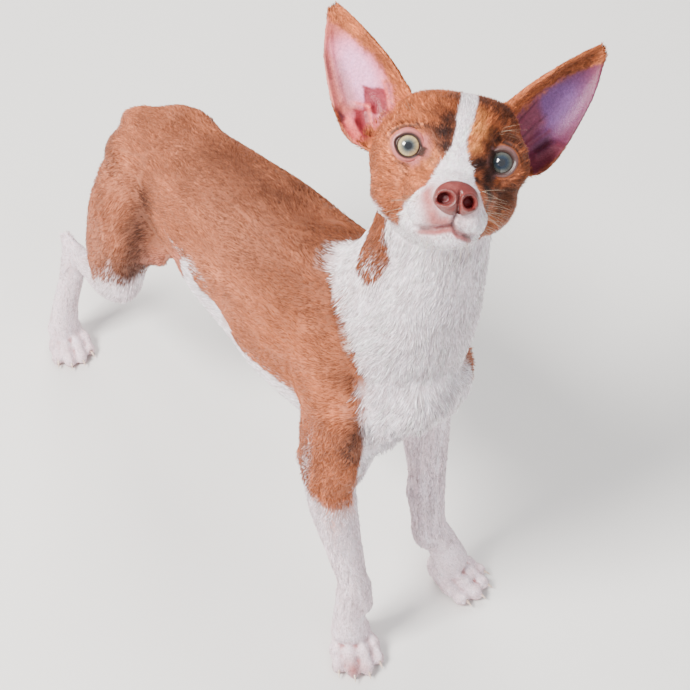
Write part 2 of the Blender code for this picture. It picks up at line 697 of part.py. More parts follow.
def fit_claws(paw, prefix, frame, scale, parts, cutters):
    for number, (across, reach, spread, size) in enumerate(TOES, 1):
        turn = Matrix.Rotation(math.radians(-spread), 4, "Z")
        place = frame @ Matrix.Translation((across * 1.08 * scale, (reach + 0.0056) * scale, 0)) @ turn
        root = Vector((0, 0, 0.0052 * size * scale))
        room = claw("claw_room", place, root, CLAW_DROOP, GAP, cutters)
        boolean(paw, room, "DIFFERENCE")
        bpy.data.objects.remove(room, do_unlink=True)
        node = claw(f"claw_{prefix}_{number}", place, root, CLAW_DROOP, 0.0, parts)
        keep_largest(node)
    keep_largest(paw)


def part_body(body, parts, cutters):
    """Part the body from its ends inwards; what is left is the torso."""
    nodes = {}
    regions = []

    def take(name, kind, frame, size):
        region = (frame, size)
        nodes[name] = part_off(body, name, region, TRIANGLES[kind], regions, parts, cutters)

    take("head", "head", local_frame(*HEAD_BASE), (0.11, 0.11, 0.12))
    take("tail", "tail", aim(*TAIL_BASE), (0.030, 0.240, 0.06))
    for prefix, side, paw, carpus, elbow in (
            ("right", -1, FRONT_PAW, CARPUS, ELBOW),
            ("left", 1, LEFT_FRONT_PAW, LEFT_CARPUS, LEFT_ELBOW)):
        take(f"front_paw_{prefix}", "paw", aim(paw + FRONT_PAW_HEIGHT * UP, -UP), (0.06, 0.06, 0.03))
        take(f"forearm_{prefix}", "forearm", aim(elbow.lerp(carpus, JOINT_STEP), carpus - elbow),
             (0.044, 0.044, 0.11))
        base, slope = (mirrored(vector, side) for vector in ARM_BASE)
        take(f"upper_arm_{prefix}", "upper_arm", aim(base, slope, FORWARD), (0.058, 0.13, 0.05))
    for prefix, side, paw, hock, knee in (
            ("right", -1, HIND_PAW, HOCK, KNEE),
            ("left", 1, LEFT_HIND_PAW, LEFT_HOCK, LEFT_KNEE)):
        take(f"hind_paw_{prefix}", "paw", aim(paw + HIND_PAW_HEIGHT * UP, -UP), (0.06, 0.06, 0.03))
        take(f"metatarsus_{prefix}", "metatarsus", aim(hock - HOCK_DROP * UP, -UP), (0.044, 0.05, 0.06))
        take(f"shank_{prefix}", "shank", aim(knee.lerp(hock, JOINT_STEP), hock - knee),
             (0.046, 0.05, 0.12))
        base, slope = (mirrored(vector, side) for vector in THIGH_BASE)
        take(f"thigh_{prefix}", "thigh", aim(base, slope, FORWARD), (0.074, 0.14, 0.06))
    take("neck", "neck", aim(*NECK_BASE), (0.12, 0.12, 0.12))
    thin_out(body, TRIANGLES["torso"])
    for region in regions:
        cut_with_box(body, "DIFFERENCE", region, GAP / 2, cutters)
    keep_largest(body)
    body.name = "torso"
    nodes["torso"] = body
    return nodes


def level_soles(body):
    """Flatten whatever reaches below the ground onto small flats at z = 0."""
    edit = bmesh.new()
    edit.from_mesh(body.data)
    geometry = list(edit.verts) + list(edit.edges) + list(edit.faces)
    bmesh.ops.bisect_plane(edit, geom=geometry, plane_co=(0, 0, 0), plane_no=(0, 0, -1),
                           clear_outer=True, dist=1e-7)
    rims = [edge for edge in edit.edges if edge.is_boundary]
    bmesh.ops.holes_fill(edit, edges=rims)
    bmesh.ops.triangulate(edit, faces=edit.faces)
    edit.to_mesh(body.data)
    edit.free()


def stand_at_origin(parts):
    """Move everything so that the origin is the middle of the box's base."""
    points = np.vstack([coordinates(item) for item in parts.objects])
    middle = (points.min(axis=0) + points.max(axis=0)) / 2
    for item in parts.objects:
        set_coordinates(item, coordinates(item) - np.array((middle[0], middle[1], 0.0)))


def finish_for(name):
    if name.startswith("claw"):
        return "claw_horn"
    if name.startswith("eye"):
        return "eye_gloss"
    if name.startswith("ear"):
        return "ear_skin"
    if name == "nose":
        return "nose_leather"
    if name.startswith(("forearm", "front_paw", "metatarsus", "hind_paw")):
        return "white_coat"
    return "brown_coat"


def main():
    clear_scene()
    masses = new_collection("masses")
    parts = new_collection("chihuahua")
    cutters = new_collection("cutters")
    trunk_masses(masses)
    neck_masses(masses)
    tail_masses(masses)
    front_leg_masses(-1, SHOULDER, ELBOW, CARPUS, FRONT_PAW, masses)
    front_leg_masses(1, LEFT_SHOULDER, LEFT_ELBOW, LEFT_CARPUS, LEFT_FRONT_PAW, masses)
    hind_leg_masses(-1, HIP, KNEE, HOCK, HIND_PAW, masses)
    hind_leg_masses(1, LEFT_HIP, LEFT_KNEE, LEFT_HOCK, LEFT_HIND_PAW, masses)
    paw_frames = {
        "front_paw_right": (paw_frame(FRONT_PAW, FRONT_TOE_OUT, -1), 1.0),
        "front_paw_left": (paw_frame(LEFT_FRONT_PAW, FRONT_TOE_OUT, 1), 1.0),
        "hind_paw_right": (paw_frame(HIND_PAW, HIND_TOE_OUT, -1), HIND_PAW_SCALE),
        "hind_paw_left": (paw_frame(LEFT_HIND_PAW, LEFT_HIND_TOE_OUT, 1), HIND_PAW_SCALE),
    }
    for frame, scale in paw_frames.values():
        paw_masses(frame, scale, masses)
    skull_masses(masses)
    body = joined(masses, "body")
    masses.objects.unlink(body)
    parts.objects.link(body)
    fuse(body)
    sculpt_face(body)
    nodes = part_body(body, parts, cutters)
    for name in paw_frames:
        level_soles(nodes[name])
    fit_nose(nodes["head"], parts, cutters)
    fit_ears(nodes["head"], parts, cutters)
    fit_eyes(nodes["head"], parts, cutters)
    for name, (frame, scale) in paw_frames.items():
        fit_claws(nodes[name], name.replace("_paw", ""), frame, scale, parts, cutters)
    stand_at_origin(parts)
    finishes = {
        "brown_coat": principled("brown_coat", *BROWN_COAT),
        "white_coat": principled("white_coat", *WHITE_COAT),
        "ear_skin": principled("ear_skin", *EAR_SKIN),
        "nose_leather": principled("nose_leather", *NOSE_LEATHER),
        "eye_gloss": principled("eye_gloss", *EYE_GLOSS),
        "claw_horn": principled("claw_horn", *CLAW_HORN),
    }
    for item in parts.objects:
        item.data.materials.clear()
        item.data.materials.append(finishes[finish_for(item.name)])
        item.data.shade_smooth()


main()
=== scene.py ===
# %% [markdown]
# A smooth-coated chihuahua, standing and looking up
#
# The solids of this dog are faceted and cut into head, neck, torso and legs.
# Here they are dressed: one seamless skin takes their place, the eyes, nose,
# lids, claws and whiskers are made one by one, and a coat of short tufts is laid
# over the skin along the way that a dog's hair lies.

# %% Load the solids
import json
import math

import bmesh
import bpy
import numpy as np
from mathutils import Matrix, Vector
from mathutils.bvhtree import BVHTree

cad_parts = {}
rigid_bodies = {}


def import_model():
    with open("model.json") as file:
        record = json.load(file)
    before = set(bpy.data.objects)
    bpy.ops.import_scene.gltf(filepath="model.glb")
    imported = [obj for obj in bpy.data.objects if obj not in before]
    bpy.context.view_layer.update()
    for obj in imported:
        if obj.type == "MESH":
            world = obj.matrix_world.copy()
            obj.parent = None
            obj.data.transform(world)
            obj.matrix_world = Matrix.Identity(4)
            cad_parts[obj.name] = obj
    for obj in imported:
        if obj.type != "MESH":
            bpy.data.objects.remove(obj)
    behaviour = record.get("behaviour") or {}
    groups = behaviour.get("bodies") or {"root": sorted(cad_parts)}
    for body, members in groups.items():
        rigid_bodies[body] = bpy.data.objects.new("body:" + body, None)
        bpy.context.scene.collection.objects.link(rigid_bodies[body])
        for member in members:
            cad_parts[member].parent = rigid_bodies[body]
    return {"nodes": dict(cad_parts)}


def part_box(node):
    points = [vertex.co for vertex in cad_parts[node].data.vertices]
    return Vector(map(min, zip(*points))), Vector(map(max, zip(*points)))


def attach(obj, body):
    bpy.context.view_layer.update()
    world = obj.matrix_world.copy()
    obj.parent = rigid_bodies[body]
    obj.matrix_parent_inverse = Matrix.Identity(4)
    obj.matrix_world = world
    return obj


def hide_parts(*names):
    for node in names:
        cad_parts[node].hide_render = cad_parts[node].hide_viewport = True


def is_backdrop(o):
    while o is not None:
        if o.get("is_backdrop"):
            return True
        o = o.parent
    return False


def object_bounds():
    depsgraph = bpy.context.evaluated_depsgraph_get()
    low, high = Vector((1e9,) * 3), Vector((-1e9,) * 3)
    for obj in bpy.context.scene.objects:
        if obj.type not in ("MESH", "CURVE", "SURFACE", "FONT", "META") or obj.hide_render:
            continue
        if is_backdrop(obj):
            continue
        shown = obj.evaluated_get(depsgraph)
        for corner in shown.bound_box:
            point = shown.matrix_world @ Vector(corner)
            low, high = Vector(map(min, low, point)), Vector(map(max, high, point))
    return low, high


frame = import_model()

CAD_BOX = [list(corner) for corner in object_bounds()]
SEED = 7
MILLI = 1000.0                          # millimetres in a metre
print("solids:", len(frame["nodes"]), "box", CAD_BOX)

# %% Helpers for meshes and objects
WELD = 1e-6                             # points nearer than this, in metres, are one


def put_in_scene(name, data):
    """A new object, linked into the scene."""
    item = bpy.data.objects.new(name, data)
    bpy.context.scene.collection.objects.link(item)
    return item


def mesh_from(edit, name, mend=True):
    """Close an edit as a mesh; mending turns its faces outwards."""
    if mend:
        bmesh.ops.recalc_face_normals(edit, faces=edit.faces)
    mesh = bpy.data.meshes.new(name)
    edit.to_mesh(mesh)
    edit.free()
    return mesh


def numbers_of(items, name, width=3, kind=float):
    """One attribute of all points, edges or faces of a mesh, as rows of numbers."""
    flat = np.empty(len(items) * width, kind)
    items.foreach_get(name, flat)
    return flat.reshape(-1, width)


def loft(edit, rings, closed=False):
    """Four-sided faces between each ring of points and the next."""
    faces = []
    for lower, upper in zip(rings, rings[1:] + (rings[:1] if closed else [])):
        for index in range(len(lower)):
            after = (index + 1) % len(lower)
            faces.append(edit.faces.new((lower[index], lower[after], upper[after], upper[index])))
    return faces


def fan(edit, pole, ring):
    """Triangles from a pole to a ring of points."""
    for index in range(len(ring)):
        edit.faces.new((pole, ring[index], ring[(index + 1) % len(ring)]))


print("helpers for meshes are ready")

# %% [markdown]
# The head has a frame of its own
#
# Everything on a face is easier to place with the face looking straight ahead.
# The origin of this frame lies between the eyes, x runs to the dog's left, y out
# through the muzzle and z up through the crown. The two eyeballs of the solids
# say where it is, and three angles say how the neck has turned it.

# %% Head frame
HEAD_YAW = math.radians(-31.5)
HEAD_PITCH = math.radians(43.5)
HEAD_ROLL = math.radians(15.0)
EYE_RADIUS = 0.0098
GAZE = Vector((-0.126, 0.991, -0.035)).normalized()
GAZES = {-1: GAZE, 1: Vector((-0.196, 0.980, -0.035)).normalized()}
EYE_DEPTH = 0.0089                      # from the iris back to the eyeball's centre
EYES_MIDDLE = Vector((0, 0.0002, 0.0012)) - GAZE * EYE_DEPTH


def middle_of(node):
    low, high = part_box(node)
    return (low + high) / 2


def head_frame():
    """The turn is yaw, then pitch, then roll; the place comes from the eyes."""
    left, fore, top = Vector((1, 0, 0)), Vector((0, -1, 0)), Vector((0, 0, 1))

    def turned(a, b, angle):
        return (math.cos(angle) * a + math.sin(angle) * b,
                math.cos(angle) * b - math.sin(angle) * a)

    fore, left = turned(fore, left, HEAD_YAW)
    fore, top = turned(fore, top, HEAD_PITCH)
    top, left = turned(top, left, HEAD_ROLL)
    turn = Matrix((left, fore, top)).transposed()
    between = (middle_of("eye_left") + middle_of("eye_right")) / 2
    return Matrix.Translation(between - turn @ EYES_MIDDLE) @ turn.to_4x4()


HEAD = head_frame()
HEAD_TURN = np.array(HEAD.to_3x3())
HEAD_PLACE = np.array(HEAD.translation)
EYES = {side: HEAD.inverted() @ middle_of(name)
        for side, name in ((1, "eye_left"), (-1, "eye_right"))}


def to_head(points):
    return (points - HEAD_PLACE) @ HEAD_TURN


def from_head(points):
    return points @ HEAD_TURN.T + HEAD_PLACE


print("head origin", [round(v, 4) for v in HEAD_PLACE], "eyes", EYES)

# %% [markdown]
# Camera, floor and light
#
# The photograph was taken from above and from the dog's right front, with a long
# lens. The camera's aim is given from the point between the eyes, so it stays on
# the dog. The floor is plain, and three wide soft lamps and a pale sky light it.

# %% Camera
CAMERA_AZIMUTH, CAMERA_ELEVATION, CAMERA_ROLL = -37.58, 48.09, -0.74    # degrees
CAMERA_DISTANCE = 1.03618
FOCAL_PIXELS = 2119.48
PHOTO_PIXELS = 690
SENSOR = 36.0
AIM_FROM_HEAD = Vector((-0.0052, 0.06939, -0.17271))


def look_from(azimuth, elevation):
    """The way from the dog to a place at an azimuth and an elevation in degrees."""
    a, e = math.radians(azimuth), math.radians(elevation)
    return Vector((math.sin(a) * math.cos(e), -math.cos(a) * math.cos(e), math.sin(e)))


def place_camera():
    back = look_from(CAMERA_AZIMUTH, CAMERA_ELEVATION)
    a = math.radians(CAMERA_AZIMUTH)
    right = Vector((math.cos(a), math.sin(a), 0.0))
    turn = Matrix((right, back.cross(right), back)).transposed().to_4x4()
    aim = Vector(HEAD_PLACE) + AIM_FROM_HEAD
    lens = bpy.data.cameras.new("camera")
    lens.sensor_fit = "HORIZONTAL"
    lens.sensor_width = SENSOR
    lens.lens = FOCAL_PIXELS / PHOTO_PIXELS * SENSOR
    camera = put_in_scene("camera", lens)
    camera.matrix_world = (Matrix.Translation(aim + back * CAMERA_DISTANCE) @ turn
                           @ Matrix.Rotation(math.radians(CAMERA_ROLL), 4, "Z"))
    bpy.context.scene.camera = camera
    return camera, aim


camera, aim = place_camera()
print("camera at", camera.location)

# %% Helpers for materials, which are node trees


def fill(tree, node, inputs):
    """Fill a node's inputs: a socket is linked, any other value is stored."""
    for key, value in inputs.items():
        socket = node.inputs[key.replace("_", " ") if isinstance(key, str) else key]
        if isinstance(value, bpy.types.NodeSocket):
            tree.links.new(value, socket)
        elif value is not None:
            socket.default_value = value


def add(tree, kind, *ordered, **settings):
    """A node; what has no name, or a name with a capital, is an input, the rest is a setting."""
    node = tree.nodes.new(kind)
    inputs = dict(enumerate(ordered))
    for key, value in settings.items():
        if key[0].isupper():
            inputs[key] = value
        else:
            setattr(node, key, value)
    fill(tree, node, inputs)
    return node


def new_material(name):
    material = bpy.data.materials.new(name)
    material.use_nodes = True
    return material, material.node_tree


def set_shader(tree, bump=None, **inputs):
    """Fill the shader's inputs; a bump is a height, a strength and a distance in metres."""
    if bump:
        inputs["Normal"] = add(tree, "ShaderNodeBump", Height=bump[0], Strength=bump[1],
                               Distance=bump[2]).outputs["Normal"]
    fill(tree, tree.nodes["Principled BSDF"], inputs)


def painted(tree, name, output="Fac"):
    """An attribute that was stored on the mesh."""
    return add(tree, "ShaderNodeAttribute", attribute_name=name).outputs[output]


def on_object(tree):
    return add(tree, "ShaderNodeTexCoord").outputs["Object"]


def noise(tree, scale, detail, roughness=0.5):
    return add(tree, "ShaderNodeTexNoise", Vector=on_object(tree), Scale=scale, Detail=detail,
               Roughness=roughness).outputs["Fac"]


def cells(tree, scale):
    return add(tree, "ShaderNodeTexVoronoi", Vector=on_object(tree), Scale=scale).outputs["Distance"]


def ramp(tree, factor, *stops):
    """A colour ramp; a stop is (place, colour), and one number is a grey."""
    node = add(tree, "ShaderNodeValToRGB", factor)
    elements = node.color_ramp.elements
    while len(elements) < len(stops):
        elements.new(0.5)
    for element, (place, colour) in zip(elements, stops):
        element.position = place
        element.color = (*np.broadcast_to(colour, 3), 1.0)
    return node.outputs["Color"]


def blend(tree, factor, a, b, mode="MIX"):
    """Mix two colours; a colour is a socket or three numbers."""
    node = add(tree, "ShaderNodeMix", factor, data_type="RGBA", blend_type=mode)
    fill(tree, node, {socket: (*value, 1.0) if isinstance(value, tuple) else value
                      for socket, value in ((6, a), (7, b))})
    return node.outputs[2]


def multiply(tree, a, b):
    return blend(tree, 1.0, a, b, "MULTIPLY")


def finish_piece(mesh_or_object, name, material, slot, replaced=(), smooth=True):
    """Link a piece, give it its material, attach it to the root body and hide the solids that it
    replaces.
    """
    piece = mesh_or_object
    if isinstance(piece, bpy.types.Mesh):
        piece = put_in_scene(name, piece)
    piece.data.materials.clear()
    piece.data.materials.append(material)
    if smooth:
        piece.data.shade_smooth()
    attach(piece, "root")
    if replaced:
        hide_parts(*replaced)
    print(name, "triangles", sum(len(p.vertices) - 2 for p in piece.data.polygons))
    return piece


print("helpers for materials are ready")

# %% Floor and lights
FLOOR_SIZE = 6.0
FLOOR_TONE = (0.80, 0.79, 0.77)
LAMPS = (       # name, azimuth, elevation, distance, size, power, warmth, seen in the eyes
    ("key_lamp", -96, 50, 1.7, 0.55, 78, (1.0, 0.965, 0.92), True),
    ("fill_lamp", -5, 40, 1.8, 1.2, 14, (0.95, 0.97, 1.0), False),
    ("back_lamp", 150, 48, 1.7, 0.9, 28, (1.0, 0.97, 0.93), False))
SKY_TONE = (0.93, 0.95, 1.0, 1.0)
SKY_STRENGTH = 0.50


def lay_floor():
    edit = bmesh.new()
    bmesh.ops.create_grid(edit, x_segments=8, y_segments=8, size=FLOOR_SIZE / 2)
    floor = put_in_scene("floor", mesh_from(edit, "floor", mend=False))
    material, tree = new_material("pale_floor")
    dim = tuple(0.96 * v for v in FLOOR_TONE)
    tone = ramp(tree, noise(tree, 3.0, 3.0), (0.3, dim), (0.7, FLOOR_TONE))
    set_shader(tree, Base_Color=tone, Roughness=0.8)
    floor.data.materials.append(material)
    floor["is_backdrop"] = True


def hang_lamp(name, azimuth, elevation, distance, size, power, warmth, mirrored):
    """A square soft lamp that looks at the dog; only a mirrored one is seen in the eyes."""
    light = bpy.data.lights.new(name, "AREA")
    light.size, light.energy, light.color = size, power, warmth
    back = look_from(azimuth, elevation)
    lamp = put_in_scene(name, light)
    lamp.visible_glossy = mirrored
    lamp.location = aim + back * distance
    lamp.rotation_euler = back.to_track_quat("Z", "Y").to_euler()


lay_floor()
for lamp in LAMPS:
    hang_lamp(*lamp)
sky = bpy.data.worlds.new("sky")
sky.use_nodes = True
fill(sky.node_tree, sky.node_tree.nodes["Background"],
     {"Color": SKY_TONE, "Strength": SKY_STRENGTH})
bpy.context.scene.world = sky
print("floor and lamps are set")

# %% [markdown]
# The ears
#
# A chihuahua's ear is a thin cup. Its front and rear edges rise from the skull to
# the tip, and half ellipses hung between them make the bowl. The same edges are
# used here as in the solids, with far more rows, folds at the foot of the bowl
# and the small pocket of skin on its outer edge. Each ear is a closed shell that
# will melt into the head.

# %% Smooth runs and smooth steps


def catmull(rows, steps):
    """Rows of numbers made into a smooth run that passes through each row."""
    rows = np.array(rows, dtype=float)
    padded = np.vstack([2 * rows[0] - rows[1], rows, 2 * rows[-1] - rows[-2]])
    t = np.linspace(0, 1, steps, endpoint=False)[:, None]
    runs = []
    for p0, p1, p2, p3 in zip(padded, padded[1:], padded[2:], padded[3:]):
        runs.append(0.5 * (2 * p1 + (p2 - p0) * t + (2 * p0 - 5 * p1 + 4 * p2 - p3) * t ** 2
                           + (3 * p1 - p0 - 3 * p2 + p3) * t ** 3))
    return np.vstack(runs + [rows[-1:]])


def step(value, low, high):
    """Smooth step from 0 at `low` to 1 at `high`."""
    t = np.clip((value - low) / (high - low), 0.0, 1.0)
    return t * t * (3 - 2 * t)


def drop(value, low, high):
    """Smooth step from 1 at `low` to 0 at `high`."""
    return 1 - step(value, low, high)


def hill(value, middle, width):
    return np.exp(-((value - middle) / width) ** 2)


def most(*fields):
    return np.maximum.reduce(fields)


# %% Ear shells
EAR_FRONT_EDGE = ((0.0130, -0.0250, 0.0130), (0.0200, -0.0265, 0.0230), (0.0290, -0.0280, 0.0345),
                  (0.0390, -0.0310, 0.0440), (0.0487, -0.0350, 0.0522), (0.0556, -0.0388, 0.0578))
EAR_REAR_EDGE = ((0.0290, -0.0280, -0.0040), (0.0415, -0.0330, 0.0010), (0.0485, -0.0375, 0.0100),
                 (0.0540, -0.0410, 0.0225), (0.0584, -0.0425, 0.0370), (0.0598, -0.0412, 0.0528))
EAR_CUP = (0.0130, 0.0145, 0.0132, 0.0105, 0.0065, 0.0012)
EAR_LEAN = {-1: np.array((0, 0, -0.0020)), 1: np.array((0.0022, 0, 0.0012))}
EAR_THICKNESS = 0.0019
EAR_RIM_THICKNESS = 0.0011
EAR_ROWS = 14                # between two given points of an edge
EAR_COLUMNS = 56
EAR_LENGTH = 66.0            # millimetres from foot to tip, to measure runs on the bowl
EAR_WIDTH = 30.0
EAR_RELIEF = {               # runs on the bowl: (across, rise) twice, half width and height in mm
    -1: (((0.70, 0.20), (0.62, 0.35), 0.9, 1.5), ((0.62, 0.35), (0.80, 0.43), 0.9, 1.1),
         ((0.37, 0.26), (0.29, 0.43), 0.8, 1.0), ((0.46, 0.20), (0.41, 0.33), 0.8, 0.8),
         ((0.90, 0.19), (0.93, 0.33), 2.0, 1.9), ((0.98, 0.31), (0.99, 0.44), 1.2, -0.8),
         ((0.52, 0.16), (0.96, 0.17), 1.3, 0.9), ((0.50, 0.35), (0.56, 0.43), 2.6, -0.8),
         ((0.80, 0.27), (0.76, 0.36), 1.8, -0.8), ((0.93, 0.48), (0.90, 0.92), 0.8, 0.6)),
    1: (((0.88, 0.28), (0.97, 0.44), 1.6, 1.7), ((0.70, 0.26), (0.78, 0.45), 0.9, 1.2),
        ((0.40, 0.28), (0.33, 0.48), 0.8, 0.9), ((0.52, 0.20), (0.56, 0.46), 0.8, 0.9),
        ((0.82, 0.30), (0.86, 0.42), 1.1, -0.8), ((0.48, 0.36), (0.64, 0.42), 2.4, -0.7),
        ((0.52, 0.16), (0.96, 0.17), 1.3, 0.9))}
TIP_ROWS = (0.35, 0.6, 0.8, 0.93, 0.99)
TIP_ADVANCE = 0.0016


def relief(across, rise, runs):
    """Height in metres of ridges and dents that follow short runs on the bowl."""
    total = np.zeros(np.broadcast(across, rise).shape)
    for start, end, width, height in runs:
        a = np.array(start) * (EAR_WIDTH, EAR_LENGTH)
        d = np.array(end) * (EAR_WIDTH, EAR_LENGTH) - a
        u, v = across * EAR_WIDTH - a[0], rise * EAR_LENGTH - a[1]
        t = np.clip((u * d[0] + v * d[1]) / (d @ d), 0, 1)
        away = np.hypot(u - t * d[0], v - t * d[1])
        total = total + 0.001 * height * hill(away, 0, width)
    return total


def ear_edges(side):
    """Front edge, rear edge and cup depth row by row, in the frame of the left ear."""
    front = catmull(EAR_FRONT_EDGE, EAR_ROWS)
    rear = catmull(EAR_REAR_EDGE, EAR_ROWS)
    rise = np.linspace(0, 1, len(front))
    front = front + rise[:, None] * EAR_LEAN[side]
    rear = rear + rise[:, None] * EAR_LEAN[side]
    cup = catmull([(depth,) for depth in EAR_CUP], EAR_ROWS)[:, 0]
    return front, rear, cup, rise


def ear_shell(side):
    """The bowl's points by row and column, then an inner and an outer face round it."""
    front, rear, cup, rise = ear_edges(side)
    middle, half = (front[-1] + rear[-1]) / 2, (rear[-1] - front[-1]) / 2
    ahead = (front[-1] + rear[-1] - front[-3] - rear[-3])
    ahead = ahead / np.linalg.norm(ahead)
    for share in TIP_ROWS:                          # the tip is rounded off
        spread = half * math.sqrt(1 - share ** 2)
        centre = middle + ahead * TIP_ADVANCE * share
        front = np.vstack([front, centre - spread])
        rear = np.vstack([rear, centre + spread])
        cup = np.append(cup, cup[-1] * math.sqrt(1 - share ** 2))
        rise = np.append(rise, 1.0)
    along = np.gradient(front + rear, axis=0)
    back = np.cross(rear - front, along)
    back /= np.linalg.norm(back, axis=1)[:, None]
    across = np.linspace(0, 1, EAR_COLUMNS + 1)
    angle = math.pi * across
    middle = (front[:, None] + (rear - front)[:, None] * ((1 - np.cos(angle)) / 2)[None, :, None]
              + back[:, None] * (cup[:, None] * np.sin(angle)[None])[..., None])
    down = np.gradient(middle, axis=0)
    over = np.gradient(middle, axis=1)
    normal = np.cross(over, down)
    normal /= np.linalg.norm(normal, axis=2)[..., None] + 1e-12
    outward = np.sign((normal * back[:, None]).sum(axis=2).mean())
    normal *= outward
    bow = np.sin(angle)[None]
    thick = EAR_RIM_THICKNESS + (EAR_THICKNESS - EAR_RIM_THICKNESS) * bow ** 0.7 + 0 * rise[:, None]
    chord = (1 - np.cos(angle))[None] / 2
    fold = relief(chord, rise[:, None], EAR_RELIEF[side])
    outer = middle + normal * (thick / 2)[..., None]
    inner = middle - normal * (thick / 2 + fold)[..., None]
    loop = np.concatenate([inner, outer[:, ::-1]], axis=1)
    loop[..., 0] *= side
    edit = bmesh.new()
    rows = [[edit.verts.new(point) for point in row] for row in from_head(loop.reshape(-1, 3))
            .reshape(loop.shape)]
    loft(edit, rows)
    last = len(rows[0]) - 1
    for row in (rows[0], rows[-1]):
        for index in range(EAR_COLUMNS):
            edit.faces.new((row[index], row[index + 1], row[last - 1 - index], row[last - index]))
    return mesh_from(edit, "ear_shell")


def ball(centre, radius, rings=24):
    """A ball given in the head's frame."""
    edit = bmesh.new()
    bmesh.ops.create_uvsphere(edit, u_segments=2 * rings, v_segments=rings, radius=radius)
    bmesh.ops.translate(edit, vec=HEAD @ Vector(centre), verts=edit.verts)
    return mesh_from(edit, "ball", mend=False)


ear_meshes = [ear_shell(side) for side in (-1, 1)]
print("ear shells:", [len(mesh.vertices) for mesh in ear_meshes], "points")

# %% [markdown]
# One skin
#
# The solids of the flesh are copied, welded and swollen a hair so that the thin
# cuts between them close. A voxel remesh then turns them, the ears and a plug in
# each eye socket into one surface, and smoothing melts the facets away: a lot on
# the trunk, less on the head, least on the toes. Sculpting comes after that.

# %% Gather the flesh
FLESH = sorted(name for name in frame["nodes"]
               if not name.startswith(("claw", "eye", "ear", "nose")))
EARS = ("ear_left", "ear_right")
FINE_VOXEL = 0.0006
VOXEL = FINE_VOXEL
SWELL = 0.00025               # closes the cuts between the solids
SOCKET_PLUG = EYE_RADIUS + 0.0004


def gather(names, extra):
    """The named solids, welded and swollen, and some more meshes, as one object."""
    edit = bmesh.new()
    for name in names:
        solid = bmesh.new()
        solid.from_mesh(frame["nodes"][name].data)
        bmesh.ops.remove_doubles(solid, verts=solid.verts, dist=WELD)
        solid.normal_update()
        for vert in solid.verts:
            vert.co += vert.normal * SWELL
        edit.from_mesh(mesh_from(solid, name, mend=False))
    for mesh in extra:
        edit.from_mesh(mesh)
    return put_in_scene("skin", mesh_from(edit, "skin", mend=False))


def bake_modifiers(item):
    graph = bpy.context.evaluated_depsgraph_get()
    mesh = bpy.data.meshes.new_from_object(item.evaluated_get(graph))
    item.modifiers.clear()
    item.data = mesh
    return item


def points_of(mesh):
    return numbers_of(mesh.vertices, "co")


def normals_of(mesh):
    return numbers_of(mesh.vertex_normals, "vector", kind=np.float32).astype(float)


def put_points(mesh, points):
    mesh.vertices.foreach_set("co", points.astype(np.float32).ravel())
    mesh.update()


plugs = [ball(centre, SOCKET_PLUG) for centre in EYES.values()]
skin = gather(FLESH, ear_meshes + plugs)
remesh = skin.modifiers.new("melt", "REMESH")
remesh.mode, remesh.voxel_size = "VOXEL", VOXEL
bake_modifiers(skin)
print("skin after the remesh:", len(skin.data.vertices), "points")

# %% Smooth by region


def ear_share(local):
    """1 on the free part of each ear, 0 on the skull, in the head's frame."""
    reach = 0.8 * np.abs(local[:, 0]) + 0.6 * local[:, 2]
    high = step(reach, 0.0292, 0.0322) * step(local[:, 1], -0.075, -0.068)
    return high * step(local[:, 2], -0.012, -0.006) * drop(local[:, 1], -0.018, -0.010)


def head_share(local):
    return step(local[:, 1], -0.066, -0.050) * step(local[:, 2], -0.052, -0.040)


def from_run(mm, run):
    """Distance of each point from a run of straight pieces."""
    best = np.full(len(mm), 1e9)
    for a, b in zip(run, run[1:]):
        a, b = np.array(a, float), np.array(b, float)
        t = np.clip((mm - a) @ (b - a) / ((b - a) @ (b - a)), 0, 1)
        best = np.minimum(best, np.linalg.norm(mm - a - t[:, None] * (b - a), axis=1))
    return best


ARM_EDGE = ((-48, -127, 205), (-49.5, -132.7, 191.7), (-51, -137.6, 185.6), (-54.6, -139.7, 172.4),
            (-55.5, -137.8, 159), (-55.4, -135.6, 144.3))      # between upper arm and breast, in mm
BREAST_HEM = ((-42.5, -145.5, 174.7), (-37.4, -148.8, 177.8), (-32.2, -152.1, 180.4),
              (-25.8, -153.8, 182), (-15.0, -152.9, 177.8))
BODY_SWELLS = (     # place or run, radius and height in mm
    ((-12.0, -52.0, 236.6), 17, -7.0), ((0, 60, 203), 14, 3.0), ((-22, 94, 199.7), 10, 2.5),
    ((-68, 77, 152), 14, -3.0), ((-54, -20, 160), 14, -6.5),
    ((-50, -137, 36), 6.0, 2.6), (((-2, -116, 70), (-3, -127, 43)), 8.0, 4.2),
    (tuple((x + 3.5, y - 0.5, z) for x, y, z in ARM_EDGE), 3.0, -2.0),
    (tuple((x - 4.0, y + 1.5, z) for x, y, z in ARM_EDGE), 4.0, 1.5),
    (tuple((x, y + 1.5, z - 9.0) for x, y, z in BREAST_HEM), 7.0, -5.2),
    (tuple((x, y, z + 4.0) for x, y, z in BREAST_HEM), 6.0, 1.4))


WEIGHT_STEPS = 20
TRUNK_TURNS, HEAD_TURNS = 130, 34        # of smoothing, at the fine voxel size


def weigh(item, weights):
    """A vertex group that holds a weight for each point, rounded to a few steps."""
    layer = item.vertex_groups.new(name="weights")
    levels = np.round(weights * WEIGHT_STEPS).astype(int)
    for level in range(1, WEIGHT_STEPS + 1):
        chosen = np.nonzero(levels == level)[0]
        if len(chosen):
            layer.add(chosen.tolist(), level / WEIGHT_STEPS, "REPLACE")


